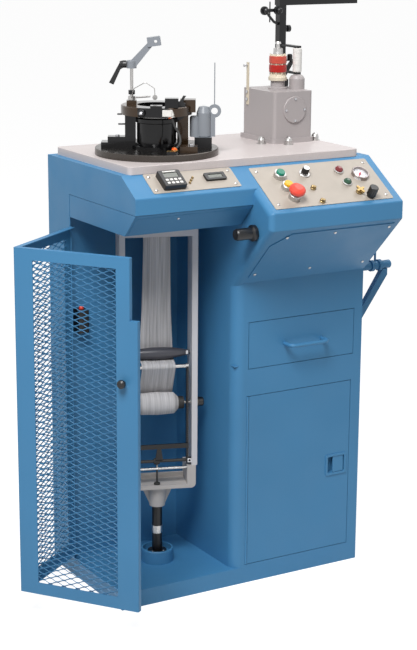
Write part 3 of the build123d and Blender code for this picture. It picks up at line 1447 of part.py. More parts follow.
with BuildPart() as yarn_stand:
    half = post_side / 2
    add(box_between((post_x - half, post_y - half, box_high_z), (post_x + half, post_y + half, stand_top)))
    add(box_between((post_x - 12.0, post_y - 12.0, stand_top - 24.0),
                    (post_x + top_arm_length, post_y + 12.0, stand_top)))
    foot_low = (post_x - 16.0, post_y - 16.0, box_high_z)
    add(box_between(foot_low, (post_x + 16.0, post_y + 16.0, box_high_z + 18.0)))
    fork_z = roll_low_z + roll_length
    add(box_between((feeder_x - 7.0, feeder_y - 7.0, fork_z), (feeder_x + 7.0, post_y, fork_z + 5.0)))
    add(box_between((feeder_x - 7.0, feeder_y - 7.0, roll_low_z - 5.0), (feeder_x + 7.0, post_y, roll_low_z)))
    add(box_between((feeder_x - 7.0, post_y - half, roll_low_z - 5.0), (post_x, post_y - 1.0, fork_z + 5.0)))
    add(turned(upright(feeder_x, feeder_y, roll_low_z - 1.0), (fork_pin_radius, 0),
               (fork_pin_radius, roll_length + 2.0)))
    cross_y = post_y - 34.0
    cross_z = stand_top - 34.0
    with BuildLine() as tension_path:
        FilletPolyline(
            (post_x, post_y, stand_top - 74.0),
            (post_x - 26.0, post_y - 8.0, stand_top - 66.0),
            (post_x - 52.0, post_y - 20.0, stand_top - 46.0),
            (post_x - 66.0, cross_y, cross_z),
            radius=[24.0, 14.0],
        )
    with BuildSketch(Plane(tension_path.line @ 0, z_dir=tension_path.line % 0)):
        Circle(3.4)
    sweep(path=tension_path.line)
    cross_low = (post_x - 82.0, cross_y - 4.0, cross_z - 4.0)
    add(box_between(cross_low, (post_x - 30.0, cross_y + 4.0, cross_z + 4.0)))
    for x in (post_x - 76.0, post_x - 36.0):
        add(turned(Plane((x, cross_y - 3.0, cross_z), (1, 0, 0), (0, -1, 0)), (11.0, 0), (11.0, 2.0),
                   (3.0, 3.0), (11.0, 4.0), (11.0, 6.0), (7.0, 6.5), (7.0, 16.0), (5.0, 18.0)))
    add(rod_between((post_x - 56.0, cross_y, cross_z - 30.0), (post_x - 56.0, cross_y, cross_z + 22.0), 1.6))
    add(turned(Plane((post_x + half - 1.0, post_y, stand_top - 84.0), x_dir=(0, 1, 0), z_dir=(1, 0, 0)),
               (5.0, 0), (5.0, 8.0), (9.0, 10.0), (9.0, 18.0)))
    strut_end = (post_x + half + 26.0, box_high_z + 64.0)
    with BuildSketch(Plane.XZ.offset(-post_y + 3.0)):
        with BuildLine():
            Polyline(
                (post_x, box_high_z + 14.0), (post_x + half, box_high_z + 14.0),
                (strut_end[0] + 6.0, strut_end[1] - 2.0), (strut_end[0], strut_end[1] + 4.0),
                (post_x, box_high_z + 26.0), close=True,
            )
        make_face()
    extrude(amount=-6.0)
    strut_end_x, strut_end_z = strut_end
    add(rod_between((post_x, post_y, strut_end_z + 1.0), (strut_end_x + 2.0, post_y, strut_end_z + 1.0), 2.0))
    add(turned(upright(strut_end_x - 6.5, post_y, strut_end_z + 2.0),
               (7.0, -2.3), (7.0, 12.0), (5.0, 15.0)))
yarn_stand.part.label = "yarn_stand"
export_step(yarn_stand.part, "parts/yarn_stand.step")


# Creel at the right side: steel rail with clamps and shelf, blue brace
creel_y = front_y + 120.0
creel_z = console_under_z - 27.0
creel_length = 170.0
rail_radius = 11.0
brace_foot_z = creel_z - 240.0

with BuildPart() as creel_frame:
    rail_plane = Plane((right_x, creel_y, creel_z), x_dir=(0, 1, 0), z_dir=(1, 0, 0))
    add(turned(rail_plane, (24.0, 0), (24.0, 5.0), (rail_radius, 5.0), (rail_radius, creel_length),
               (rail_radius - 1.5, creel_length + 1.5)))
    for reach in (creel_length - 62.0, creel_length - 38.0):
        add(turned(rail_plane.offset(reach), (rail_radius + 4.0, 0), (rail_radius + 4.0, 9.0)))
    peg_x = right_x + creel_length - 46.0
    add(rod_between((peg_x, creel_y, creel_z), (peg_x, creel_y, creel_z + 90.0), 3.0))
    brace_low = (right_x, creel_y - 10.0, brace_foot_z - 26.0)
    add(box_between(brace_low, (right_x + 4.0, creel_y + 10.0, brace_foot_z + 26.0)))
    with BuildSketch(Plane.XZ.offset(-creel_y + 8.0)):
        with BuildLine():
            Polyline(
                (right_x, brace_foot_z - 12.0),
                (right_x + creel_length - 10.0, creel_z - rail_radius - 16.0),
                (right_x + creel_length - 10.0, creel_z - rail_radius + 1.0),
                (right_x + creel_length - 24.0, creel_z - rail_radius + 1.0),
                (right_x, brace_foot_z + 8.0),
                close=True,
            )
        make_face()
    extrude(amount=-16.0)
creel_frame.part.label = "creel_frame"
export_step(creel_frame.part, "parts/creel_frame.step")


# Drive tube with its pulley and the yoke's top plate
yoke_top_high_z = yoke_top_low_z + yoke_top_thickness

with BuildPart() as drive_tube:
    add(turned(
        upright(head_x, head_y, yoke_top_high_z - 0.5),
        (drive_tube_radius + 8.0, 0), (drive_tube_radius + 8.0, 6.5), (drive_tube_radius, 6.5),
        (drive_tube_radius, drive_tube_high_z - yoke_top_high_z + 0.5),
        bore=drive_tube_radius - drive_tube_wall,
    ))
    add(turned(
        upright(head_x, head_y, pulley_low_z),
        (big_pulley_radius + 4.0, 0), (big_pulley_radius + 4.0, 2.0), (big_pulley_radius, 2.0),
        (big_pulley_radius, pulley_width - 2.0), (big_pulley_radius + 4.0, pulley_width - 2.0),
        (big_pulley_radius + 4.0, pulley_width),
        bore=drive_tube_radius - 1.0,
    ))
    with BuildSketch(yoke.level(yoke_top_low_z)):
        rectangle_between(-rail_outer, rail_outer, -rail_depth / 2, rail_depth / 2)
        Ellipse(39.0, 22.0, mode=Mode.SUBTRACT)
    extrude(amount=yoke_top_thickness)
drive_tube.part.label = "drive_tube"
export_step(drive_tube.part, "parts/drive_tube.step")

# Channel rails of the yoke
rail_inner = rail_outer - rail_width
web_holes = [
    (spreader_z, 0, axle_radius),
    (takeup_z, 0, axle_radius),
    (lever_pivot_z, lever_forward, axle_radius),
]

with BuildPart() as yoke_rails:
    for side in (-1, 1):
        with BuildSketch(yoke.level(casting_high_z)):
            with Locations((side * (rail_inner + rail_outer) / 2, 0)):
                Rectangle(rail_width, rail_depth)
            with Locations((side * (rail_inner + rail_wall + rail_outer) / 2, 0)):
                Rectangle(rail_width - rail_wall, rail_depth - 2 * rail_wall, mode=Mode.SUBTRACT)
        extrude(amount=yoke_top_low_z - casting_high_z)
    for z, forward, radius in web_holes:
        with BuildSketch(yoke.across(-rail_outer, forward, z)):
            Circle(radius + tube_clearance)
        extrude(amount=2 * rail_outer, mode=Mode.SUBTRACT)
yoke_rails.part.label = "yoke_rails"
export_step(yoke_rails.part, "parts/yoke_rails.step")


# Crowned spreader roller
with BuildPart() as spreader_roller:
    reach = rail_inner + rail_wall + 3.0
    with BuildSketch(Plane(yoke.point(0, 0, spreader_z), x_dir=yoke.right, z_dir=yoke.front)):
        with BuildLine():
            Line((-reach, 0), (-reach, axle_radius))
            Line((-reach, axle_radius), (-spreader_half, axle_radius))
            Line((-spreader_half, axle_radius), (-spreader_half, spreader_end_radius))
            ThreePointArc((-spreader_half, spreader_end_radius), (0, spreader_radius),
                          (spreader_half, spreader_end_radius))
            Line((spreader_half, spreader_end_radius), (spreader_half, axle_radius))
            Line((spreader_half, axle_radius), (reach, axle_radius))
            Line((reach, axle_radius), (reach, 0))
            Line((reach, 0), (-reach, 0))
        make_face()
    revolve(axis=Axis(yoke.point(0, 0, spreader_z), yoke.right))
spreader_roller.part.label = "spreader_roller"
export_step(spreader_roller.part, "parts/spreader_roller.step")

# Take-up roll: cloth wound on a steel axle with a black hub and an end knob
with BuildPart() as takeup_roll:
    add(turned(yoke.across(-takeup_half, 0, takeup_z), (takeup_radius - 13.0, 0), (takeup_radius - 2.0, 11.0),
               (takeup_radius, takeup_half), (takeup_radius - 2.0, 2 * takeup_half - 11.0),
               (takeup_radius - 13.0, 2 * takeup_half), bore=10.0))
takeup_roll.part.label = "takeup_roll"
export_step(takeup_roll.part, "parts/takeup_roll.step")

with BuildPart() as takeup_axle:
    axle_start = rail_inner + rail_wall + 3.0
    add(turned(
        yoke.across(-axle_start, 0, takeup_z),
        (axle_radius, 0), (axle_radius, axle_start - takeup_half), (10.0, axle_start - takeup_half),
        (10.0, axle_start + takeup_half), (15.0, axle_start + takeup_half),
        (15.0, axle_start + takeup_half + 14.5), (axle_radius, axle_start + takeup_half + 14.5),
        (axle_radius, axle_start + rail_outer + 1.0), (6.0, axle_start + rail_outer + 1.0),
        (6.0, axle_start + rail_outer + 6.0), (11.5, axle_start + rail_outer + 6.0),
        (11.5, axle_start + rail_outer + 19.0), (9.0, axle_start + rail_outer + 21.0),
    ))
takeup_axle.part.label = "takeup_axle"
export_step(takeup_axle.part, "parts/takeup_axle.step")


# Tension lever: two long arms that carry the cloth's guide rod, joined by a flat bar, on a cross shaft
arm_across = 73.0
arm_thickness = 5.0
arm_width = 14.0
shaft_radius = 4.0
lever_bar_z = lever_pivot_z + 41.0
lever_face = lever_forward + arm_width / 2
arm_outer = arm_across + arm_thickness / 2

with BuildPart() as press_lever:
    for side in (-1, 1):
        with BuildSketch(yoke.side(side * arm_across - arm_thickness / 2)):
            with Locations((lever_forward, (lever_pivot_z + rod_z) / 2)):
                SlotOverall(rod_z - lever_pivot_z + arm_width, arm_width, rotation=90)
            with Locations((lever_forward, lever_pivot_z)):
                Circle(shaft_radius + hinge_clearance, mode=Mode.SUBTRACT)
        extrude(amount=-arm_thickness)
        add(turned(yoke.across(side * arm_outer, lever_forward, lever_pivot_z),
                   (7.0, 0), (7.0, side * 7.5), bore=shaft_radius + hinge_clearance))
    with BuildSketch(yoke.face(lever_face)):
        rectangle_between(-arm_outer, arm_outer, lever_bar_z - 6.0, lever_bar_z + 6.0)
        Polygon((-5.0, lever_bar_z - 5.0), (-10.0, lever_pivot_z + 6.0), (10.0, lever_pivot_z + 6.0),
                (5.0, lever_bar_z - 5.0), align=None)
    extrude(amount=4.0)
    add(turned(yoke.across(-arm_outer, lever_forward, rod_z), (rod_radius, 0), (rod_radius, 2 * arm_outer)))
press_lever.part.label = "press_lever"
export_step(press_lever.part, "parts/press_lever.step")

# Lever shaft and a lower shaft between the casting's walls, with the adjusting rod on the casting
casting_half = 94.0
casting_wall = 22.0
base_high_z = casting_low_z + 10.0

with BuildPart() as yoke_rods:
    shaft_half = rail_inner + rail_wall + 4.0
    wall_half = casting_half - casting_wall
    add(turned(yoke.across(-shaft_half, lever_forward, lever_pivot_z),
               (shaft_radius, 0), (shaft_radius, 2 * shaft_half)))
    add(turned(yoke.across(-wall_half, lever_forward, casting_high_z - 7.0),
               (shaft_radius - 0.5, 0), (shaft_radius - 0.5, 2 * wall_half)))
    add(turned(yoke.across(-12.0, lever_forward, lever_pivot_z), (8.0, 0), (8.0, 14.0)))
    adjuster_foot = yoke.point(-4.0, lever_forward, base_high_z)
    add(rod_between(adjuster_foot, yoke.point(-4.0, lever_forward, lever_pivot_z), 2.5))
    add(turned(yoke.seat(-4.0, lever_forward, base_high_z), (8.0, 0), (8.0, 4.0), (5.0, 6.0)))
yoke_rods.part.label = "yoke_rods"
export_step(yoke_rods.part, "parts/yoke_rods.step")


# Cast bottom of the yoke: a U with a ribbed boss
casting_depth = 70.0
boss_low_z = casting_low_z - 53.0

with BuildPart() as bottom_casting:
    with BuildSketch(yoke.face(casting_depth / 2)):
        with BuildLine():
            Polyline(
                (-casting_half, casting_low_z), (casting_half, casting_low_z), (casting_half, casting_high_z),
                (casting_half - casting_wall, casting_high_z), (casting_half - casting_wall, base_high_z),
                (casting_wall - casting_half, base_high_z), (casting_wall - casting_half, casting_high_z),
                (-casting_half, casting_high_z), close=True,
            )
        make_face()
    extrude(amount=-casting_depth)
    with BuildSketch(yoke.face(-casting_depth / 2)):
        rectangle_between(-casting_half + 2.0, casting_half - 2.0, base_high_z - 1.0, base_high_z + 12.0)
    extrude(amount=6.0)
    outer_edges = bottom_casting.edges().filter_by(Axis((0, 0, 0), yoke.front)).group_by(Axis.Z)[0]
    fillet(outer_edges, radius=12.0)
    add(turned(upright(head_x, head_y, boss_low_z), (20.0, 0), (26.0, casting_low_z - boss_low_z)))
    with BuildSketch(yoke.face(4.0)):
        with BuildLine():
            Polyline((-42.0, casting_low_z + 1.0), (42.0, casting_low_z + 1.0), (20.0, boss_low_z + 6.0),
                     (-20.0, boss_low_z + 6.0), close=True)
        make_face()
    extrude(amount=-8.0)
bottom_casting.part.label = "bottom_casting"
export_step(bottom_casting.part, "parts/bottom_casting.step")

# Column under the casting: black shaft, bright collar and bottom flange with its journal
column_plane_z = plinth_height + 7.0
journal_radius = 10.0

with BuildPart() as yoke_column:
    column_top = boss_low_z - column_plane_z
    add(turned(
        upright(head_x, head_y, column_plane_z),
        (journal_radius, 0), (journal_radius, 13.5), (24.5, 13.5), (24.5, 20.5), (column_radius, 20.5),
        (column_radius, 69.0), (14.0, 69.0), (14.0, 89.0), (column_radius, 89.0), (column_radius, column_top),
    ))
yoke_column.part.label = "yoke_column"
export_step(yoke_column.part, "parts/yoke_column.step")

# Floor bearing: a cup with a bushing that holds the column's journal
bushing_high = 20.0

with BuildPart() as floor_bearing:
    add(turned(upright(head_x, head_y, plinth_height), (bearing_cup_radius, 0),
               (bearing_cup_radius, bearing_cup_height - 2.0),
               (bearing_cup_radius - 1.5, bearing_cup_height)))
    with BuildSketch(upright(head_x, head_y, plinth_height + bearing_cup_height)):
        Circle(bearing_cup_radius - 5.0)
    extrude(amount=bushing_high - bearing_cup_height - 0.5, mode=Mode.SUBTRACT)
    with BuildSketch(upright(head_x, head_y, plinth_height + bearing_cup_height)):
        Circle(journal_radius + tube_clearance)
    extrude(amount=6.5 - bearing_cup_height, mode=Mode.SUBTRACT)
floor_bearing.part.label = "floor_bearing"
export_step(floor_bearing.part, "parts/floor_bearing.step")


# Knitted tube: round in the head, then flat behind and under the spreader, over the rod and behind the roll
cloth_half_thickness = 1.0
cloth_gap = 0.6
cloth_half_width = 42.0
cloth_offset = cloth_half_thickness + cloth_gap


def cloth_section(z, half_width, half_depth, forward):
    """One cross-section of the knitted tube."""
    with BuildSketch(yoke.seat(0, forward, z)) as section:
        Ellipse(half_width, half_depth)
    return section.sketch


def left_of(heading):
    """The direction to the left of a heading, seen from the machine's right side."""
    return Vector(-sin(heading), cos(heading))


def around(centre, radius, first, last):
    """Points and headings of the cloth on a roller: a positive radius has the roller on its left."""
    steps = max(2, int(abs(last - first) / radians(12)))
    headings = [first + (last - first) * step / steps for step in range(steps + 1)]
    return [(centre - left_of(heading) * radius, heading) for heading in headings]


def crossing(centre, radius, next_centre, next_radius):
    """The heading of the straight run from one roller to another that lies on its other side."""
    run = next_centre - centre
    lean = asin((abs(radius) + abs(next_radius)) / run.length)
    return atan2(run.Y, run.X) + lean * (1 if radius > 0 else -1)


spreader_centre = Vector(0, spreader_z)
rod_centre = Vector(lever_forward, rod_z)
roll_centre = Vector(0, takeup_z)
on_spreader = spreader_radius + cloth_offset
on_rod = -rod_radius - cloth_offset
on_roll = takeup_radius + cloth_offset
to_rod = crossing(spreader_centre, on_spreader, rod_centre, on_rod)
to_roll = crossing(rod_centre, on_rod, roll_centre, on_roll)
cloth_run = [(Vector(-on_spreader, spreader_z + 12.0), radians(-90))]
cloth_run += around(spreader_centre, on_spreader, radians(-90), to_rod)
cloth_run += around(rod_centre, on_rod, to_rod, to_roll)
cloth_run += [(roll_centre - left_of(to_roll) * on_roll, to_roll)]

with BuildPart() as fabric_tube:
    top_of_flat = cloth_section(spreader_z + 6.0, cloth_half_width + 0.6, 1.5 * cloth_half_thickness,
                                -on_spreader)
    in_yoke = cloth_section(yoke_top_low_z, 33.5, 14.0, 0)
    loft([cloth_section(cylinder_high_z - 20.0, 33.0, 33.0, 0), in_yoke])
    loft([in_yoke, cloth_section(spreader_z + 110.0, 37.0, 6.0, -10.0), top_of_flat])
    with BuildSketch(yoke.side(0)):
        one_side = [place + left_of(heading) * cloth_half_thickness for place, heading in cloth_run]
        other_side = [place - left_of(heading) * cloth_half_thickness for place, heading in cloth_run]
        Polygon(*[(corner.X, corner.Y) for corner in one_side + other_side[::-1]], align=None)
    extrude(amount=cloth_half_width, both=True)
fabric_tube.part.label = "fabric_tube"
export_step(fabric_tube.part, "parts/fabric_tube.step")


# Drive motor under the hood's top, its pulley and the belt
motor_y = head_y + motor_distance
pulley_high_z = pulley_low_z + pulley_width

with BuildPart() as drive_motor:
    motor_seat = upright(head_x, motor_y, pulley_high_z + 8.0)
    motor_top = cabinet_height - sheet - pulley_high_z - 8.0
    add(turned(motor_seat, (motor_radius - 4.0, 0), (motor_radius, 4.0), (motor_radius, motor_top), bore=6.2))
drive_motor.part.label = "drive_motor"
export_step(drive_motor.part, "parts/drive_motor.step")

with BuildPart() as motor_pulley:
    add(turned(
        upright(head_x, motor_y, pulley_low_z),
        (small_pulley_radius + 3.0, 0), (small_pulley_radius + 3.0, 2.0), (small_pulley_radius, 2.0),
        (small_pulley_radius, pulley_width - 2.0), (small_pulley_radius + 3.0, pulley_width - 2.0),
        (small_pulley_radius + 3.0, pulley_width), (6.1, pulley_width), (6.1, pulley_width + 40.0),
    ))
motor_pulley.part.label = "motor_pulley"
export_step(motor_pulley.part, "parts/motor_pulley.step")


def belt_outline(extra):
    """The loop round both pulleys, standing off them by the given amount."""
    with BuildSketch(Plane.XY.offset(pulley_low_z + 3.5)) as outline:
        with Locations((head_x, head_y)):
            Circle(big_pulley_radius + extra)
        with Locations((head_x, motor_y)):
            Circle(small_pulley_radius + extra)
        make_hull()
    return outline.sketch


with BuildPart() as drive_belt:
    extrude(belt_outline(belt_gap + belt_thickness), amount=pulley_width - 7.0)
    extrude(belt_outline(belt_gap), amount=pulley_width - 7.0, mode=Mode.SUBTRACT)
drive_belt.part.label = "drive_belt"
export_step(drive_belt.part, "parts/drive_belt.step")
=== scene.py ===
"""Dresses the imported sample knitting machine: its finishes, the guard's expanded metal, the knitted
tube and the yarn, the small trim of its plates, head and yoke, and the stage that it stands on."""

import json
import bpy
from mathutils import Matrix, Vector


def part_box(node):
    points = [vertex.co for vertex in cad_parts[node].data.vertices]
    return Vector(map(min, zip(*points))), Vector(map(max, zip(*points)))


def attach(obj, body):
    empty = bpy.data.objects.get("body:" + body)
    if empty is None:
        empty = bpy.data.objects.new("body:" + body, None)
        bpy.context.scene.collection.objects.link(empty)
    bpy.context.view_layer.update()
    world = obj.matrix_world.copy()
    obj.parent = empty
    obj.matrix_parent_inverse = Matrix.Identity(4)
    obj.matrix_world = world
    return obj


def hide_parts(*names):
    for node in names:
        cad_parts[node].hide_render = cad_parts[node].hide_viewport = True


bl_info = {
    "name": "Sample Knitting Machine",
    "version": (1, 0, 0),
    "blender": (4, 5, 0),
    "location": "3D View > Sidebar > Knitting Machine",
    "description": "Makes the finishes, cloth and small trim of a sample knitting machine",
    "category": "Object",
}

from math import atan2, cos, hypot, pi, radians, sin, tau

import bmesh
import bpy
from bpy.props import FloatProperty, FloatVectorProperty, IntProperty, PointerProperty
from bpy.types import Operator, Panel, PropertyGroup
from mathutils import Matrix, Vector

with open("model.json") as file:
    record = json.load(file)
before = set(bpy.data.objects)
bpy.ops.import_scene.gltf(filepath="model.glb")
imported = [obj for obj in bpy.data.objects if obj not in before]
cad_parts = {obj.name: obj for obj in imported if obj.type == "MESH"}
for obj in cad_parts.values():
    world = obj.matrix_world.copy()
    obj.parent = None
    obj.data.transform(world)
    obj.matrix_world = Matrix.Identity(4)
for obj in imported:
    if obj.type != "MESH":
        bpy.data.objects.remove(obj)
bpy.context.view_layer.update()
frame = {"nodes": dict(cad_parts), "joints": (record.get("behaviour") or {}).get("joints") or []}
JOINTS = {joint["name"]: joint for joint in frame["joints"]}


def joint_point(name):
    """A point on a joint's axis, in metres."""
    return Vector(JOINTS[name]["pos_m"])


HEAD = joint_point("rotor_spin")
HEAD_FLOOR = Vector((HEAD.x, HEAD.y, 0))
UP = Vector((0, 0, 1))
ACROSS = Vector(JOINTS["spreader_spin"]["axis"])
TOWARDS = ACROSS.cross(UP)
HEAD_ACROSS = Vector(JOINTS["clamp_turn"]["axis"])
HEAD_TOWARDS = HEAD_ACROSS.cross(UP)
PANEL_OUT = Vector(JOINTS["speed_turn"]["axis"])
PANEL_UP = Vector((0, PANEL_OUT.z, -PANEL_OUT.y))
BAY_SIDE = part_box("pedestal")[0].x
CABINET_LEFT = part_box("left_hood")[0].x
LIP_HEIGHT = 0.985
LIP_EDGE = Vector((0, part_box("pedestal")[0].y, LIP_HEIGHT))
UNDERSIDE_EDGE = Vector((CABINET_LEFT, -0.2695, 0.996))
UNDERSIDE_OUT = (0, -0.7235, -0.6912)
COVER_MIDDLE = (0.2345, -0.0335, 1.181)


def place_at(origin, out, up=UP):
    """A place for a small piece: millimetres across, up and outwards from a point in metres."""
    out = Vector(out).normalized()
    across = Vector(up).cross(out)
    if across.length < 0.001:
        across = ACROSS.copy()
    across.normalize()
    axes = Matrix((across, out.cross(across), out)).transposed() * 0.001
    return Matrix.Translation(origin) @ axes.to_4x4()


def yoke_point(across, forward, height):
    """A point from the head's axis: across the yoke, towards the operator, and up."""
    return HEAD_FLOOR + ACROSS * across + TOWARDS * forward + UP * height


def head_point(across, forward, height):
    """A point from the head's axis: across the head, towards the operator, and up."""
    return HEAD_FLOOR + HEAD_ACROSS * across + HEAD_TOWARDS * forward + UP * height


MACHINE = place_at(Vector(), UP, (0, 1, 0))
HEAD_TOP = place_at(head_point(0, 0, 0), UP, -HEAD_TOWARDS)
YOKE_FRONT = place_at(yoke_point(0, 0, 0), TOWARDS)
YOKE_COLUMN = place_at(yoke_point(0, 0, 0), UP, -TOWARDS)
COVER_FACE = place_at(COVER_MIDDLE, (0, -1, 0))
HOOD_UNDERSIDE = place_at(UNDERSIDE_EDGE, UNDERSIDE_OUT)
CONSOLE = place_at(LIP_EDGE + Vector((BAY_SIDE, 0, 0)), PANEL_OUT, PANEL_UP)
HOOD = place_at(LIP_EDGE + Vector((CABINET_LEFT, 0, 0)), PANEL_OUT, PANEL_UP)


PLATE_THICKNESS = 1.5


def on_panel(panel, right, up, raised=PLATE_THICKNESS):
    """A place on a control plate, in millimetres."""
    return panel @ Matrix.Translation((right, up, raised))


# Sizes and colours that can be changed


def colour_setting(name, description, default):
    return FloatVectorProperty(
        name=name,
        description=description,
        default=default,
        subtype="COLOR",
        min=0,
        max=1,
        size=3,
    )


def length_setting(name, description, default):
    return FloatProperty(
        name=name, description=description, default=default, unit="LENGTH", min=0
    )


def angle_setting(name, description, default):
    return FloatProperty(
        name=name, description=description, default=default, subtype="ANGLE"
    )


def power_setting(name, description, default):
    return FloatProperty(
        name=name, description=description, default=default, unit="POWER"
    )


class StageSettings(PropertyGroup):
    """The camera, the floor and the lights."""

    camera_place: FloatVectorProperty(
        name="Camera Place",
        description="Where the camera stands, from the middle of the cabinet's foot",
        default=(-2.1455, -3.6195, 1.6946),
        subtype="TRANSLATION",
        unit="LENGTH",
    )
    camera_turn: angle_setting(
        "Camera Turn", "How far the camera is turned round the machine", radians(-30.72)
    )
    camera_dip: angle_setting("Camera Dip", "How far the camera looks down", radians(14.08))
    camera_roll: angle_setting("Camera Roll", "How far the camera leans", radians(0.37))
    lens: FloatProperty(
        name="Lens", description="The lens's focal length", default=93.73, unit="CAMERA"
    )
    floor_colour: colour_setting("Floor", "Colour of the floor", (0.7, 0.7, 0.7))
    world_strength: FloatProperty(
        name="Room Light", description="Strength of the room's light", default=0.15
    )
    key_power: power_setting("Key Light", "Power of the main light", 235)
    top_power: power_setting("Overhead Light", "Power of the overhead light", 20)


class PaintSettings(PropertyGroup):
    """Colours of the painted and moulded pieces."""

    cabinet: colour_setting("Cabinet", "Blue paint of the sheet metal", (0.060, 0.228, 0.432))
    table: colour_setting("Table", "Grey laminate of the table plate", (0.62, 0.56, 0.55))
    plate: colour_setting("Control Plates", "Satin metal of the plates", (0.45, 0.40, 0.345))
    cast: colour_setting("Castings", "Grey paint of the yoke's casting", (0.50, 0.47, 0.45))
    rail: colour_setting("Yoke Rails", "Pale paint of the yoke's rails", (0.62, 0.61, 0.63))
    gearbox: colour_setting("Gearbox", "Grey paint of the gearbox", (0.42, 0.385, 0.385))
    motor: colour_setting("Motors", "Grey enamel of motors and arm", (0.26, 0.28, 0.31))
    black: colour_setting("Black Parts", "Black paint and black oxide", (0.006, 0.006, 0.007))


class GuardMeshSettings(PropertyGroup):
    """The guard's expanded metal."""

    long_way: length_setting("Long Way", "Width of one diamond", 0.037)
    short_way: length_setting("Short Way", "Height of one diamond", 0.0147)
    strand: length_setting("Strand", "Width of a strand", 0.0026)
    gauge: length_setting("Gauge", "Thickness of the metal", 0.0012)
    tilt: angle_setting("Tilt", "How far the strands turn out of the sheet", radians(38))


class ClothSettings(PropertyGroup):
    """The knitted tube and the yarn."""

    cloth: colour_setting("Cloth", "Undyed knitted cloth", (0.52, 0.51, 0.52))
    yarn: colour_setting("Yarn", "Yarn on the roll beside the feeder", (0.80, 0.78, 0.75))
    wales: IntProperty(
        name="Wales", description="Columns of stitches round the tube", default=56, min=8
    )


# Finishes

# Between these two values lies most of what a noise texture gives
NOISE_LOW = 0.3
NOISE_HIGH = 0.7

FINISHES = {}


def new_finish(name, colour, roughness, metallic=0.0, specular=0.5, coat=0.0):
    """A material with its constants set on the shader, kept under its name in small letters."""
    finish = bpy.data.materials.new(name)
    FINISHES[name.lower()] = finish
    finish.use_nodes = True
    shader = finish.node_tree.nodes["Principled BSDF"]
    shader.inputs["Base Color"].default_value = (*colour, 1)
    shader.inputs["Roughness"].default_value = roughness
    shader.inputs["Metallic"].default_value = metallic
    shader.inputs["Specular IOR Level"].default_value = specular
    shader.inputs["Coat Weight"].default_value = coat
    finish.diffuse_color = (*colour, 1)
    return finish


def shader_of(finish):
    return finish.node_tree.nodes["Principled BSDF"]


def noise_node(finish, scale, detail=3.0, stretch=(1, 1, 1), turn=0.0):
    """Noise in the machine's own coordinates, in metres, so it stays put on every piece."""
    nodes = finish.node_tree.nodes
    links = finish.node_tree.links
    place = nodes.new("ShaderNodeTexCoord")
    mapping = nodes.new("ShaderNodeMapping")
    mapping.vector_type = "TEXTURE"
    mapping.inputs["Rotation"].default_value = (0, 0, turn)
    mapping.inputs["Scale"].default_value = [1 / k for k in stretch]
    noise = nodes.new("ShaderNodeTexNoise")
    noise.inputs["Scale"].default_value = scale
    noise.inputs["Detail"].default_value = detail
    links.new(place.outputs["Object"], mapping.inputs["Vector"])
    links.new(mapping.outputs["Vector"], noise.inputs["Vector"])
    return noise


def mottle(finish, scale, amount, stretch=(1, 1, 1), detail=3.0, turn=0.0):
    """Varies the base colour a little, darker and lighter, over the surface."""
    nodes = finish.node_tree.nodes
    links = finish.node_tree.links
    shader = shader_of(finish)
    colour = shader.inputs["Base Color"].default_value[:3]
    ramp = nodes.new("ShaderNodeValToRGB")
    dark, light = ramp.color_ramp.elements
    dark.position = NOISE_LOW
    light.position = NOISE_HIGH
    dark.color = (*[max(c * (1 - amount), 0) for c in colour], 1)
    light.color = (*[min(c * (1 + amount), 1) for c in colour], 1)
    links.new(noise_node(finish, scale, detail, stretch, turn).outputs["Fac"], ramp.inputs["Fac"])
    links.new(ramp.outputs["Color"], shader.inputs["Base Color"])


def grain(finish, scale, strength, distance, stretch=(1, 1, 1), detail=2.0, turn=0.0):
    """Fine bumps in the surface."""
    nodes = finish.node_tree.nodes
    links = finish.node_tree.links
    bump = nodes.new("ShaderNodeBump")
    bump.inputs["Strength"].default_value = strength
    bump.inputs["Distance"].default_value = distance
    noise = noise_node(finish, scale, detail, stretch, turn)
    links.new(noise.outputs["Fac"], bump.inputs["Height"])
    links.new(bump.outputs["Normal"], shader_of(finish).inputs["Normal"])


def uneven_gloss(finish, scale, low, high):
    """Lets the roughness wander between two values, as handling leaves it."""
    nodes = finish.node_tree.nodes
    links = finish.node_tree.links
    spread = nodes.new("ShaderNodeMapRange")
    spread.inputs["From Min"].default_value = NOISE_LOW
    spread.inputs["From Max"].default_value = NOISE_HIGH
    spread.inputs["To Min"].default_value = low
    spread.inputs["To Max"].default_value = high
    links.new(noise_node(finish, scale, 4.0).outputs["Fac"], spread.inputs["Value"])
    links.new(spread.outputs["Result"], shader_of(finish).inputs["Roughness"])


def satin_paint(name, colour, roughness):
    """Sprayed paint with a faint orange peel."""
    finish = new_finish(name, colour, roughness, specular=0.4)
    mottle(finish, 3.0, 0.05)
    grain(finish, 900.0, 0.08, 0.0002)
    uneven_gloss(finish, 14.0, roughness - 0.05, roughness + 0.07)
    return finish


def bright_metal(name, colour, roughness):
    """Turned or ground metal with a fine uneven gloss."""
    finish = new_finish(name, colour, roughness, metallic=1.0)
    uneven_gloss(finish, 120.0, roughness * 0.7, roughness * 1.4)
    grain(finish, 700.0, 0.05, 0.0001)


def moulded(name, colour, roughness):
    """Moulded plastic."""
    finish = new_finish(name, colour, roughness, specular=0.5)
    mottle(finish, 60.0, 0.04)
    grain(finish, 1400.0, 0.05, 0.0001)


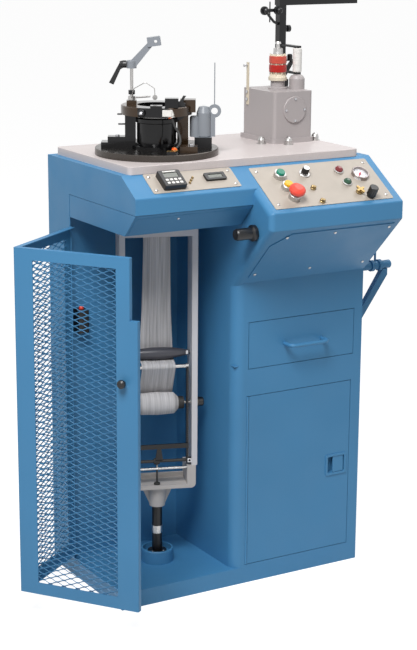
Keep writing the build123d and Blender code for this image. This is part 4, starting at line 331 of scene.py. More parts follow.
# Colour and roughness of the moulded pieces
MOULDED = {
    "Black Plastic": ((0.007, 0.007, 0.008), 0.32),
    "Green Plastic": ((0.0, 0.21, 0.13), 0.32),
    "Yellow Plastic": ((0.86, 0.46, 0.01), 0.32),
    "Red Plastic": ((0.86, 0.075, 0.045), 0.32),
    "Cream Plastic": ((0.72, 0.64, 0.50), 0.4),
    "Orange Plastic": ((0.85, 0.14, 0.015), 0.35),
    "White Plastic": ((0.80, 0.78, 0.74), 0.35),
    "Red Insert": ((0.70, 0.02, 0.08), 0.35),
    "Dark Grey Roller": ((0.055, 0.056, 0.070), 0.34),
    "Black Rubber": ((0.02, 0.02, 0.02), 0.6),
}

# Colour and roughness of the bright metals
METALS = {
    "Chrome": ((0.52, 0.52, 0.54), 0.2),
    "Bright Steel": ((0.50, 0.49, 0.48), 0.28),
    "Satin Aluminium": ((0.54, 0.53, 0.52), 0.34),
    "Brass": ((0.42, 0.29, 0.12), 0.34),
    "Aged Brass": ((0.30, 0.22, 0.11), 0.34),
    "Polished Disc": ((0.085, 0.075, 0.068), 0.26),
    "Grey Bezel": ((0.34, 0.30, 0.29), 0.3),
}

# Colour, roughness, specular, coat, and the mottle's scale and amount
SMALL_FACES = {
    "Red Lens": ((0.22, 0.006, 0.012), 0.1, 0.5, 0.5, 90.0, 0.3),
    "Green Lens": ((0.006, 0.075, 0.032), 0.1, 0.5, 0.5, 90.0, 0.3),
    "Dial Face": ((0.86, 0.87, 0.90), 0.35, 0.5, 0.4, 200.0, 0.02),
    "Dial Print": ((0.05, 0.05, 0.07), 0.5, 0.5, 0.0, 200.0, 0.2),
    "Display": ((0.085, 0.095, 0.075), 0.15, 0.5, 0.6, 300.0, 0.12),
    # Near-black finish of painted shade: it stands in for the shade inside screw crosses and a nut's
    # hole
    "Dark Recess": ((0.004, 0.005, 0.008), 0.7, 0.2, 0.0, 80.0, 0.3),
}


def make_finishes(paint, cloth):
    """Every finish of the machine."""
    satin_paint("Cabinet Paint", paint.cabinet, 0.46)
    satin_paint("Rail Paint", paint.rail, 0.4)
    satin_paint("Motor Enamel", paint.motor, 0.32)
    satin_paint("Black Paint", paint.black, 0.3)
    cast_paint("Casting Paint", paint.cast, 0.5, 260.0, 0.25, 0.0008)
    cast_paint("Gearbox Paint", paint.gearbox, 0.36, 240.0, 0.2, 0.0006)
    table_laminate("Table Laminate", paint.table)
    control_plate("Control Plate", paint.plate)
    polished_steel("Polished Black", paint.black, 0.14, 0.55, 40.0, (0.1, 0.24))
    polished_steel("Brown Steel", (0.045, 0.024, 0.010), 0.2, 0.5, 60.0, (0.15, 0.3))
    knitted_cloth("Cloth", cloth.cloth)
    wound_yarn("Yarn", cloth.yarn)
    wound_yarn("Red Yarn", (0.46, 0.02, 0.015))
    wound_yarn("Pale Red Yarn", (0.60, 0.09, 0.06))
    for name, (colour, roughness) in MOULDED.items():
        moulded(name, colour, roughness)
    for name, (colour, roughness) in METALS.items():
        bright_metal(name, colour, roughness)
    for name, (colour, roughness, specular, coat, scale, amount) in SMALL_FACES.items():
        finish = new_finish(name, colour, roughness, specular=specular, coat=coat)
        mottle(finish, scale, amount)


def cast_paint(name, colour, roughness, scale, strength, distance):
    """Sprayed paint over a rougher casting."""
    finish = satin_paint(name, colour, roughness)
    grain(finish, scale, strength, distance)


def table_laminate(name, colour):
    """Laminate with a fine speckle and a wandering gloss."""
    finish = new_finish(name, colour, 0.38, specular=0.5)
    mottle(finish, 900.0, 0.07, detail=1.0)
    uneven_gloss(finish, 8.0, 0.33, 0.45)


def control_plate(name, colour):
    """Lacquered sheet with a faint brushed grain."""
    finish = new_finish(name, colour, 0.36, specular=0.35)
    mottle(finish, 30.0, 0.04)
    grain(finish, 800.0, 0.06, 0.0001, (0.08, 1, 1))


def polished_steel(name, colour, roughness, metallic, scale, gloss):
    """Blacked or browned steel, polished by handling."""
    finish = new_finish(name, colour, roughness, metallic=metallic, coat=0.3)
    uneven_gloss(finish, scale, *gloss)


def knitted_cloth(name, colour):
    """Undyed jersey: fine upright wales, with soft darker streaks between them that are painted shade
    of the cloth's folds.
    """
    finish = new_finish(name, colour, 0.9, specular=0.15)
    turn = atan2(ACROSS.y, ACROSS.x)
    # The stretched mottle gives the wales and also paints the folds' shade as darker upright streaks
    mottle(finish, 330.0, 0.22, (1.0, 0.02, 0.02), 3.0, turn)
    grain(finish, 700.0, 0.5, 0.0005, (1.0, 0.25, 0.25), turn=turn)
    shader_of(finish).inputs["Sheen Weight"].default_value = 0.2


def wound_yarn(name, colour):
    """Yarn laid in close turns."""
    finish = new_finish(name, colour, 0.85, specular=0.2)
    mottle(finish, 500.0, 0.10, (0.15, 0.15, 1.0))
    grain(finish, 900.0, 0.6, 0.0006, (0.1, 0.1, 1.0))
    shader_of(finish).inputs["Sheen Weight"].default_value = 0.3


NODE_FINISHES = {
    "cabinet paint": "bay_liner pedestal left_hood lower_hood_cover back_panel console_cover "
    "cupboard_door drawer_box guard_frame guard_mesh piano_hinges creel_frame floor_bearing "
    "latch_paddle",
    "table laminate": "table_top",
    "control plate": "console_plate timer_plate",
    "black plastic": "panel_instruments side_knob regulator_knob speed_knob guard_knob "
    "interlock_switch clamp_lever",
    "chrome": "hose_fittings",
    "satin aluminium": "panel_fittings needle_cylinder",
    "bright steel": "takeup_axle wire_bail fasteners",
    "polished black": "cam_housing ring_plate",
    "black paint": "yarn_stand press_lever yoke_column",
    "red insert": "gauge_needle",
    "dark grey roller": "spreader_roller",
    "casting paint": "bottom_casting",
    "rail paint": "yoke_rails drive_tube",
    "gearbox paint": "gearbox",
    "motor enamel": "head_motor drive_motor motor_pulley swing_arm",
    "green plastic": "green_button",
    "yellow plastic": "yellow_button",
    "red plastic": "emergency_button",
    "red lens": "red_lamp",
    "green lens": "green_lamp",
    "brass": "brass_switch",
    "aged brass": "selector_upper selector_lower",
    "cream plastic": "feeder_reel",
    "black rubber": "drive_belt air_hose yoke_rods",
    "cloth": "fabric_tube takeup_roll",
    "yarn": "yarn_roll",
}


def paint_piece(piece, *finishes):
    """Gives a piece its finishes, in the order of its material slots."""
    piece.data.materials.clear()
    for finish in finishes:
        piece.data.materials.append(FINISHES[finish])


def add_piece(name, mesh, body, slot, *finishes, smooth=False):
    """A new piece that rides with a body of the machine."""
    piece = bpy.data.objects.new(name, mesh)
    bpy.context.scene.collection.objects.link(piece)
    paint_piece(piece, *finishes)
    if smooth:
        mesh.shade_smooth()
    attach(piece, body)
    return piece


def mesh_of(name, vertices, faces):
    """A mesh from its corners and faces, with its normals outwards."""
    mesh = bpy.data.meshes.new(name)
    mesh.from_pydata([tuple(v) for v in vertices], [], faces)
    work = bmesh.new()
    work.from_mesh(mesh)
    bmesh.ops.recalc_face_normals(work, faces=work.faces)
    work.to_mesh(mesh)
    work.free()
    return mesh


def skin(rings, closed=False, capped=True):
    """Corners and faces of a skin over rings of points; closed joins the last ring to the first."""
    count = len(rings[0])
    vertices = [point for ring in rings for point in ring]
    faces = []
    for i in range(len(rings) if closed else len(rings) - 1):
        here = i * count
        above = (i + 1) % len(rings) * count
        for k in range(count):
            after = (k + 1) % count
            faces.append((here + k, here + after, above + after, above + k))
    if capped and not closed:
        faces.append(tuple(reversed(range(count))))
        faces.append(tuple(range(len(vertices) - count, len(vertices))))
    return vertices, faces


SHARP_ANGLE = radians(32)


class Shape:
    """Gathers the corners, faces and finishes of one piece; its places are in millimetres."""

    def __init__(self):
        self.vertices = []
        self.faces = []
        self.slots = []
        self.finishes = []

    def add(self, vertices, faces, finish):
        """Adds faces with a finish of their own."""
        if finish not in self.finishes:
            self.finishes.append(finish)
        base = len(self.vertices)
        self.vertices.extend(vertices)
        self.faces.extend(tuple(base + k for k in face) for face in faces)
        self.slots.extend([self.finishes.index(finish)] * len(faces))

    def piece(self, name, body, slot):
        """Makes the piece, with its turned surfaces smooth and its edges sharp."""
        mesh = mesh_of(name, self.vertices, self.faces)
        piece = add_piece(name, mesh, body, slot, *self.finishes, smooth=True)
        mesh.polygons.foreach_set("material_index", self.slots)
        mesh.set_sharp_from_angle(angle=SHARP_ANGLE)
        return piece

    def turned(self, place, finish, *stations, count=32, closed=False):
        """A turned form on the place's outward axis, from (radius, height) stations."""
        rings = []
        for radius, height in stations:
            turns = [tau * k / count for k in range(count)]
            rings.append(
                [place @ Vector((radius * cos(turn), radius * sin(turn), height)) for turn in turns]
            )
        self.add(*skin(rings, closed), finish)

    def slab(self, place, finish, outline, low, high, ease=0.0):
        """A slab of a flat outline, with its outward edge eased."""
        levels = [(outline, low), (outline, high - ease)]
        if ease:
            levels.append((drawn_in(outline, ease), high))
        rings = [[place @ Vector((x, y, height)) for x, y in level] for level, height in levels]
        self.add(*skin(rings), finish)


def drawn_in(outline, distance):
    """The outline, moved inwards by a distance."""
    result = []
    count = len(outline)
    for k, here in enumerate(outline):
        before = (Vector(here) - Vector(outline[k - 1])).normalized()
        after = (Vector(outline[(k + 1) % count]) - Vector(here)).normalized()
        inward = Vector((-before.y - after.y, before.x + after.x))
        sharpness = max(inward.length_squared / 2, 0.2)
        result.append(tuple(Vector(here) + inward * distance / sharpness))
    return result


def oblong(width, height, radius, centre=(0, 0), steps=4):
    """A rectangle with rounded corners, anticlockwise."""
    outline = []
    for k, (a, b) in enumerate(((1, 1), (-1, 1), (-1, -1), (1, -1))):
        x = centre[0] + a * (width / 2 - radius)
        y = centre[1] + b * (height / 2 - radius)
        for step in range(steps + 1):
            turn = (k + step / steps) * pi / 2
            outline.append((x + radius * cos(turn), y + radius * sin(turn)))
    return outline


def bar(start, end, half_width):
    """A straight bar's outline, along its place's own x axis."""
    return [(start, -half_width), (end, -half_width), (end, half_width), (start, half_width)]


def paint_zones(zones_by_node):
    """Paints the faces of a node whose middle is in a zone: a finish, a place and two corners."""
    for node, zones in zones_by_node.items():
        mesh = frame["nodes"][node].data
        for finish, place, low, high in zones:
            mesh.materials.append(FINISHES[finish])
            inverse = place.inverted()
            for face in mesh.polygons:
                spot = inverse @ face.center
                if all(a <= value <= b for a, value, b in zip(low, spot, high)):
                    face.material_index = len(mesh.materials) - 1


def round_zone(finish, place, radius, low, high):
    """A zone round a place's axis, between two heights."""
    return finish, place, (-radius, -radius, low), (radius, radius, high)


# Stage

FLOOR_HALF = 30
FLOOR_SHADE = (0.3, 0.3, 0.3, 1)
FLOOR_WHITE = 0.93
ROOM_WHITE = (1, 1, 1, 1)
KEY_PLACE = (-2.1, -2.3, 4.4)
KEY_TARGET = (-0.1, -0.15, 0.7)
KEY_SIZE = 2.0
OVERHEAD_PLACE = (1.25, 0.05, 2.95)
OVERHEAD_TARGET = (0, 0, 1.0)
OVERHEAD_SIZE = 1.8
FILM_WIDTH = 36
VIEW_END = 50


class KNIT_OT_stage(Operator):
    """Makes the camera, the floor and the lights"""

    bl_idname = "knit.stage"
    bl_label = "Stage"

    def execute(self, context):
        settings = context.scene.knit_stage
        make_camera(settings)
        make_floor(settings)
        make_lights(settings)
        return {"FINISHED"}


def make_camera(settings):
    """The camera, at its place and turn."""
    turn = settings.camera_turn
    dip = settings.camera_dip
    right = Vector((cos(turn), sin(turn), 0))
    ahead = Vector((-sin(turn) * cos(dip), cos(turn) * cos(dip), -sin(dip)))
    up = right.cross(ahead)
    roll = settings.camera_roll
    leaned_right = right * cos(roll) + up * sin(roll)
    leaned_up = up * cos(roll) - right * sin(roll)
    data = bpy.data.cameras.new("Camera")
    data.lens = settings.lens
    data.sensor_width = FILM_WIDTH
    data.clip_end = VIEW_END
    camera = bpy.data.objects.new("Camera", data)
    bpy.context.scene.collection.objects.link(camera)
    axes = Matrix((leaned_right, leaned_up, -ahead)).transposed()
    camera.matrix_world = Matrix.Translation(Vector(settings.camera_place)) @ axes.to_4x4()
    bpy.context.scene.camera = camera


def light_mix(nodes, links, plain, seen):
    """A shader that is one thing for the camera, gloss and glass, and another elsewhere."""
    rays = nodes.new("ShaderNodeLightPath")
    either = nodes.new("ShaderNodeMath")
    either.operation = "MAXIMUM"
    all_three = nodes.new("ShaderNodeMath")
    all_three.operation = "MAXIMUM"
    links.new(rays.outputs["Is Camera Ray"], either.inputs[0])
    links.new(rays.outputs["Is Glossy Ray"], either.inputs[1])
    links.new(either.outputs["Value"], all_three.inputs[0])
    links.new(rays.outputs["Is Transmission Ray"], all_three.inputs[1])
    mix = nodes.new("ShaderNodeMixShader")
    links.new(all_three.outputs["Value"], mix.inputs["Fac"])
    links.new(plain, mix.inputs[1])
    links.new(seen, mix.inputs[2])
    return mix.outputs["Shader"]


def make_floor(settings):
    """A pale floor that shows white and still takes the machine's shadow."""
    corners = [(a * FLOOR_HALF, b * FLOOR_HALF, 0) for a, b in ((-1, -1), (1, -1), (1, 1), (-1, 1))]
    mesh = mesh_of("Floor", corners, [(0, 1, 2, 3)])
    floor = bpy.data.objects.new("Floor", mesh)
    bpy.context.scene.collection.objects.link(floor)
    finish = bpy.data.materials.new("Floor")
    finish.use_nodes = True
    nodes = finish.node_tree.nodes
    links = finish.node_tree.links
    nodes.clear()
    pale = nodes.new("ShaderNodeBsdfDiffuse")
    pale.inputs["Color"].default_value = (*settings.floor_colour, 1)
    shade = nodes.new("ShaderNodeBsdfDiffuse")
    shade.inputs["Color"].default_value = FLOOR_SHADE
    white = nodes.new("ShaderNodeEmission")
    white.inputs["Strength"].default_value = FLOOR_WHITE
    seen = nodes.new("ShaderNodeAddShader")
    links.new(shade.outputs["BSDF"], seen.inputs[0])
    links.new(white.outputs["Emission"], seen.inputs[1])
    out = nodes.new("ShaderNodeOutputMaterial")
    mixed = light_mix(nodes, links, pale.outputs["BSDF"], seen.outputs["Shader"])
    links.new(mixed, out.inputs["Surface"])
    floor.data.materials.append(finish)


def area_light(name, place, target, size, power):
    """A soft square lamp that looks at a point."""
    data = bpy.data.lights.new(name, "AREA")
    data.shape = "SQUARE"
    data.size = size
    data.energy = power
    lamp = bpy.data.objects.new(name, data)
    lamp.location = place
    lamp.rotation_euler = (Vector(target) - Vector(place)).to_track_quat("-Z", "Y").to_euler()
    bpy.context.scene.collection.objects.link(lamp)


def make_lights(settings):
    """A soft lamp high at the left front, a soft box overhead on the right, and a white room."""
    area_light("Key", KEY_PLACE, KEY_TARGET, KEY_SIZE, settings.key_power)
    area_light("Overhead", OVERHEAD_PLACE, OVERHEAD_TARGET, OVERHEAD_SIZE, settings.top_power)
    world = bpy.data.worlds.new("Room")
    world.use_nodes = True
    nodes = world.node_tree.nodes
    links = world.node_tree.links
    nodes.clear()
    room = nodes.new("ShaderNodeBackground")
    room.inputs["Color"].default_value = ROOM_WHITE
    room.inputs["Strength"].default_value = settings.world_strength
    backdrop = nodes.new("ShaderNodeBackground")
    backdrop.inputs["Color"].default_value = ROOM_WHITE
    backdrop.inputs["Strength"].default_value = 1
    out = nodes.new("ShaderNodeOutputWorld")
    mixed = light_mix(nodes, links, room.outputs["Background"], backdrop.outputs["Background"])
    links.new(mixed, out.inputs["Surface"])
    bpy.context.scene.world = world
    bpy.context.scene.view_settings.view_transform = "Standard"


# Finishes of the machine's own nodes


class KNIT_OT_finishes(Operator):
    """Gives every machine part its finish"""

    bl_idname = "knit.finishes"
    bl_label = "Finishes"

    def execute(self, context):
        make_finishes(context.scene.knit_paint, context.scene.knit_cloth)
        for finish, names in NODE_FINISHES.items():
            for name in names.split():
                paint_piece(frame["nodes"][name], finish)
        return {"FINISHED"}


# Guard's expanded metal

GUARD_OPEN = radians(54)
GUARD_SIDE = 0.282
SIDE_STILE = 0.034
FRONT_WINDOW = (0.050, 0.264)
WINDOW_HEIGHTS = (0.095, 0.889)
# How far the metal runs behind the frame, how far the frame's face stands out from the hinge's
# axis, the frame's thickness, and the play between the two
TUCK = 0.006
FRAME_OFFSET = 0.001
FRAME_DEPTH = 0.002
PLAY = 0.0002
BOND_SHARE = 0.16


class KNIT_OT_guard_mesh(Operator):
    """Makes the expanded metal in the guard's two windows"""

    bl_idname = "knit.guard_mesh"
    bl_label = "Guard Mesh"

    def execute(self, context):
        settings = context.scene.knit_mesh
        axis = joint_point("guard_swing")
        along = Vector((-sin(GUARD_OPEN), -cos(GUARD_OPEN), 0))
        out = Vector((-cos(GUARD_OPEN), sin(GUARD_OPEN), 0))
        corner = axis + out * FRAME_OFFSET + along * GUARD_SIDE
        axis.z = 0
        corner.z = 0
        vertices = []
        faces = []
        for start, run, outward, left, right in (
            (axis + out * FRAME_OFFSET, along, out, SIDE_STILE, GUARD_SIDE - SIDE_STILE),
            (corner, -out, along, *FRONT_WINDOW),
        ):
            place = (start, run, outward)
            add_strands(vertices, faces, settings, place, (left - TUCK, right + TUCK))
        mesh = mesh_of("Expanded Metal", vertices, faces)
        piece = add_piece("guard_expanded_metal", mesh, "guard", "cabinet_blue", "cabinet paint")
        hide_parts("guard_mesh")
        return {"FINISHED"}


def add_strands(vertices, faces, settings, place, edges):
    """Adds one window's zigzag strands: flat ribbons turned out of the sheet and bonded in rows."""
    start, run, outward = place
    lean = settings.tilt
    wide = Vector((cos(lean), sin(lean))) * settings.strand / 2
    deep = Vector((-sin(lean), cos(lean))) * settings.gauge / 2
    middle = -FRAME_DEPTH - abs(wide.y) - deep.y - PLAY
    step = settings.long_way / 2
    rise = settings.short_way / 2
    bond = step * BOND_SHARE
    window_low = WINDOW_HEIGHTS[0] - TUCK
    window_high = WINDOW_HEIGHTS[1] + TUCK
    rows = int((window_high - window_low) / rise)
    legs = int((edges[1] - edges[0]) / step) + 2
    for row in range(rows):
        low = window_low + row * rise
        points = []
        for leg in range(legs):
            x = edges[0] + leg * step
            upper = (leg + row) % 2 == 0
            side = -1 if upper else 1
            y = low + (rise if upper else 0) + side * wide.x
            z = middle + side * wide.y
            points += [(x - bond, y, z), (x + bond, y, z)]
        points = [p for p in points if edges[0] <= p[0] <= edges[1]]
        rings = []
        for x, y, z in points:
            ring = []
            for a, b in ((-1, -1), (1, -1), (1, 1), (-1, 1)):
                up = y + a * wide.x + b * deep.x
                off = z + a * wide.y + b * deep.y
                ring.append(start + run * x + outward * off + Vector((0, 0, up)))
            rings.append(ring)
        more, sides = skin(rings)
        base = len(vertices)
        vertices.extend(more)
        faces.extend(tuple(base + k for k in side) for side in sides)


# Knitted tube

# Height, distance in front of the head's axis, half width and half depth, all in metres
CLOTH_STATIONS = (
    (1.150, 0.0, 0.0330, 0.0330),
    (1.080, 0.0, 0.0328, 0.0300),
    (1.000, 0.0, 0.0325, 0.0220),
    (0.8965, 0.0, 0.0335, 0.0140),
    (0.800, -0.0050, 0.0350, 0.0098),
    (0.704, -0.0100, 0.0370, 0.0060),
    (0.640, -0.0142, 0.0398, 0.0022),
    (0.606, -0.0171, 0.0420, 0.0011),
)
CLOTH_FLAT = [0.0425, 0.0011]
# The spreader, then the rod: height, distance in front, radius to the cloth's middle, and the
# cloth's headings in and out
CLOTH_TURNS = (
    (0.594, 0.0, 0.0171, radians(-90), radians(-11.4)),
    (0.565, 0.0240, -0.0066, radians(-11.4), radians(-124)),
)
CLOTH_END = (0.4801, -0.0254)
CLOTH_RINGS = 110
BEND_STEPS = 12
SMOOTHINGS = 3
CORNERS_PER_WALE = 4
WALE_DEPTH = 0.00022
CREASE_DEPTH = 0.004
CREASE_SHARE = 0.30
# Creases per metre across and how they drift down the tube, both in radians; the fine ones' share
BROAD_CREASES = 330
BROAD_DRIFT = 5
FINE_CREASES = 710
FINE_DRIFT = 9
FINE_START = 2.0
FINE_SHARE = 0.7


class KNIT_OT_knitted_tube(Operator):
    """Makes the knitted tube from the needles down to the take-up roll"""

    bl_idname = "knit.knitted_tube"
    bl_label = "Knitted Tube"

    def execute(self, context):
        settings = context.scene.knit_cloth
        path = cloth_path()
        rings = [cloth_ring(settings.wales, i / len(path), *here) for i, here in enumerate(path)]
        mesh = mesh_of("Knitted Tube", *skin(rings, capped=False))
        piece = add_piece("knitted_tube", mesh, "rotor", "cloth_white", "cloth", smooth=True)
        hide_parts("fabric_tube")
        return {"FINISHED"}


def cloth_path():
    """Stations from the cylinder to the roll, each with the path's own forward normal."""
    points = smooth_stations(CLOTH_STATIONS, CLOTH_RINGS)
    for high, forward, radius, heading_in, heading_out in CLOTH_TURNS:
        for step in range(BEND_STEPS + 1):
            heading = heading_in + (heading_out - heading_in) * step / BEND_STEPS
            lower = high - cos(heading) * radius
            points.append([lower, forward + sin(heading) * radius] + CLOTH_FLAT)
    last = points[-1]
    for step in range(1, BEND_STEPS + 1):
        place = [a + (b - a) * step / BEND_STEPS for a, b in zip(last, CLOTH_END)]
        points.append(place + CLOTH_FLAT)
    path = []
    for i, here in enumerate(points):
        before = points[max(i - 1, 0)]
        after = points[min(i + 1, len(points) - 1)]
        down = Vector((after[1] - before[1], after[0] - before[0])).normalized()
        path.append((*here, Vector((-down.y, down.x))))
    return path


def smooth_stations(stations, count):
    """Carries the stations' figures along a smooth curve."""
    spans = [hypot(a[0] - b[0], a[1] - b[1]) for a, b in zip(stations, stations[1:])]
    whole = sum(spans)
    result = []
    for i in range(count):
        along = whole * i / (count - 1)
        k = 0
        while k < len(spans) - 1 and along >= spans[k]:
            along -= spans[k]
            k += 1
        share = along / spans[k]
        result.append([a + (b - a) * share for a, b in zip(stations[k], stations[k + 1])])
    for smoothing in range(SMOOTHINGS):
        inner = [
            [(a + 2 * b + c) / 4 for a, b, c in zip(before, here, after)]
            for before, here, after in zip(result, result[1:], result[2:])
        ]
        result = [result[0], *inner, result[-1]]
    return result


def cloth_ring(wales, along, high, forward, half_width, half_depth, normal):
    """One ring of the tube, with its wales and its soft creases."""
    ring = []
    count = wales * CORNERS_PER_WALE
    flat = 1 - min(half_depth / half_width, 1)
    for k in range(count):
        turn = tau * k / count
        across = cos(turn) * half_width
        depth = sin(turn) * half_depth
        wale = WALE_DEPTH * sin(wales * turn)
        broad = sin(across * BROAD_CREASES + BROAD_DRIFT * along)
        fine = sin(across * FINE_CREASES + FINE_START - FINE_DRIFT * along)
        folds = broad + FINE_SHARE * fine
        crease = flat * min(half_depth, CREASE_DEPTH) * CREASE_SHARE * folds
        face = 1 if depth > 0 else -1
        side = depth + (wale * flat + crease) * face * abs(sin(turn)) ** 0.5
        out = 1 + wale * (1 - flat) / half_width
        ring.append(
            yoke_point(across * out, forward + side * normal.x, high + side * normal.y)
        )
    return ring


# Console and timer, in millimetres to the right, up the slope and out from the sheet metal

GAUGE = (312.5, 104)
GAUGE_TICKS = 21
LONG_TICK_EVERY = 5
LONG_TICK_START = 13.0
SHORT_TICK_START = 15.0
TICK_END = 17.5
# Angles of the first and the last tick, in degrees
DIAL_SWEEP = (225, -45)
DIAL_HEIGHT = 4.5
EMERGENCY = (88, 45)
SPEED_KNOB = (160.5, 125)
LAMPS = {"red_lamp": (260.5, 124), "green_lamp": (260.5, 79)}
SELECTORS = {"selector_upper": (157, 71.7), "selector_lower": (157, 23.7)}
SELECTOR_TURN = radians(-35)
BRASS_SWITCH = (276.5, 43.7)
REGULATOR = (299.5, 26)
KEYPAD_HEIGHT = 16.5
DISPLAY = (113, 146.7, KEYPAD_HEIGHT)
KEYS = (113, 125.1, KEYPAD_HEIGHT)
LABEL = (113, 158.6, KEYPAD_HEIGHT)
COUNTER_WINDOW = (233.5, 141, 7.5)
DOMES = tuple((167.5 + 7 * k, 137 + 8 * k) for k in (-1, 0, 1))
SCREW_TOP = 4.1
CROSS_TURNS = (radians(20), radians(110))
PLATE_SCREWS = tuple(
    [(CONSOLE, right, up) for right in (35.5, 347) for up in (28, 147)]
    + [(HOOD, right, up) for right in (65, 279) for up in (114.5, 160.7)]
)


class KNIT_OT_console_details(Operator):
    """Gives the instruments on the two control plates their faces and adds their print"""

    bl_idname = "knit.console_details"
    bl_label = "Console Details"

    def execute(self, context):
        self.paint_instruments()
        self.add_selectors()
        self.add_print()
        return {"FINISHED"}

    def paint_instruments(self):
        """The faces of the gauge, the lamps, the buttons, the knobs, the timer and the counter."""
        gauge = on_panel(CONSOLE, *GAUGE)
        knob = on_panel(CONSOLE, *SPEED_KNOB)
        display = on_panel(HOOD, *DISPLAY)
        keys = on_panel(HOOD, *KEYS)
        window = on_panel(HOOD, *COUNTER_WINDOW)
        lamps = {
            name: [round_zone("satin aluminium", on_panel(CONSOLE, *place), 13, -1, 5.2)]
            for name, place in LAMPS.items()
        }
        selectors = [
            round_zone("aged brass", on_panel(CONSOLE, *place), 8, -1, 5)
            for place in SELECTORS.values()
        ]
        stem = on_panel(CONSOLE, *EMERGENCY)
        paint_zones({
            "panel_fittings": [
                round_zone("grey bezel", gauge, 23, -1, 11),
                round_zone("dial face", gauge, 20, 2.8, 3.2),
                *selectors,
                round_zone("aged brass", on_panel(CONSOLE, *BRASS_SWITCH), 10, -1, 5),
                round_zone("black plastic", on_panel(CONSOLE, *REGULATOR), 10, -1, 7),
            ],
            **lamps,
            "emergency_button": [round_zone("satin aluminium", stem, 30, -1, 19.5)],
            "speed_knob": [
                round_zone("satin aluminium", knob, 12, 20.2, 21),
                round_zone("satin aluminium", knob, 12, 3, 6),
            ],
            "panel_instruments": [
                ("display", display, (-20, -9, -1.3), (20, 9, -0.9)),
                ("white plastic", keys, (-27, -14, 0.4), (27, 14, 1)),
                ("display", window, (-20, -7, -1.4), (20, 7, -1.1)),
                *[round_zone("aged brass", on_panel(HOOD, *dome), 3.5, -0.5, 5) for dome in DOMES],
            ],
        })

    def add_selectors(self):
        """The two selectors' oblong knobs, each on its own spindle."""
        for name, place in SELECTORS.items():
            shape = Shape()
            turned = on_panel(CONSOLE, *place) @ Matrix.Rotation(SELECTOR_TURN, 4, "Z")
            shape.slab(turned, "aged brass", oblong(13, 7.5, 3.6), 4.1, 9, 1.2)
            knob = shape.piece(name + "_knob", name, "brass")
            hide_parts(name)

    def add_print(self):
        """The gauge's ticks, the crosses in the plates' screws as near-black slabs of painted shade,
        and the timer's label strip.
        """
        shape = Shape()
        dial = on_panel(CONSOLE, *GAUGE, DIAL_HEIGHT)
        first, last = DIAL_SWEEP
        for k in range(GAUGE_TICKS):
            turn = radians(first + (last - first) * k / (GAUGE_TICKS - 1))
            tick = dial @ Matrix.Rotation(turn, 4, "Z")
            start = LONG_TICK_START if k % LONG_TICK_EVERY == 0 else SHORT_TICK_START
            shape.slab(tick, "dial print", bar(start, TICK_END, 0.3), 0.05, 0.3)
        # Each screw's cross recess is two near-black slabs on its head: painted shade, not a cut
        # recess
        for screw in PLATE_SCREWS:
            head = on_panel(*screw, SCREW_TOP)
            for turn in CROSS_TURNS:
                arm = head @ Matrix.Rotation(turn, 4, "Z")
                shape.slab(arm, "dark recess", bar(-2.6, 2.6, 0.5), -0.3, 0.06)
        shape.slab(on_panel(HOOD, *LABEL), "white plastic", oblong(34, 3.6, 0.6), -0.1, 0.3)
        shape.piece("plate_print", "cabinet", "black_plastic")


# Hood's underside cover, in millimetres from the underside's upper left corner

COVER_SIZE = (308, 64)
COVER_PLACE = (160, -43.5)
COVER_CORNER = 10
COVER_SHEET = 1.4
COVER_SCREW = (121, -24, COVER_SHEET)


class KNIT_OT_hood_cover(Operator):
    """Makes the flat cover plate under the hood, with its screw"""

    bl_idname = "knit.hood_cover"
    bl_label = "Hood Underside Cover"

    def execute(self, context):
        shape = Shape()
        outline = oblong(*COVER_SIZE, COVER_CORNER, COVER_PLACE, 8)
        shape.slab(HOOD_UNDERSIDE, "cabinet paint", outline, -0.5, COVER_SHEET, 0.4)
        screw = HOOD_UNDERSIDE @ Matrix.Translation(COVER_SCREW)
        shape.turned(screw, "chrome", (3.6, -0.5), (3.6, 1.2), (2.4, 2.2))
        shape.piece("hood_underside_cover", "cabinet", "cabinet_blue")
        return {"FINISHED"}


# Knitting head's finishes and fittings; heights in millimetres from the floor

TABLE_TOP = 1097.5
DISC_TOP = 1113.5
MOTOR_FOOT_TOP = 1139.5
RING_LOW = 1194.5
RING_TOP = 1216.5
POST_TOP = 1303
COLLAR_HEIGHTS = (1240, 1251)
HOSE_LOW_SEAT = 1121
HOSE_HIGH_SEAT = 1197


def hose_zone(finish, low, high):
    """A zone round the air hose's fittings, between two heights."""
    return finish, MACHINE, (-260, -220, low), (-100, -80, high)


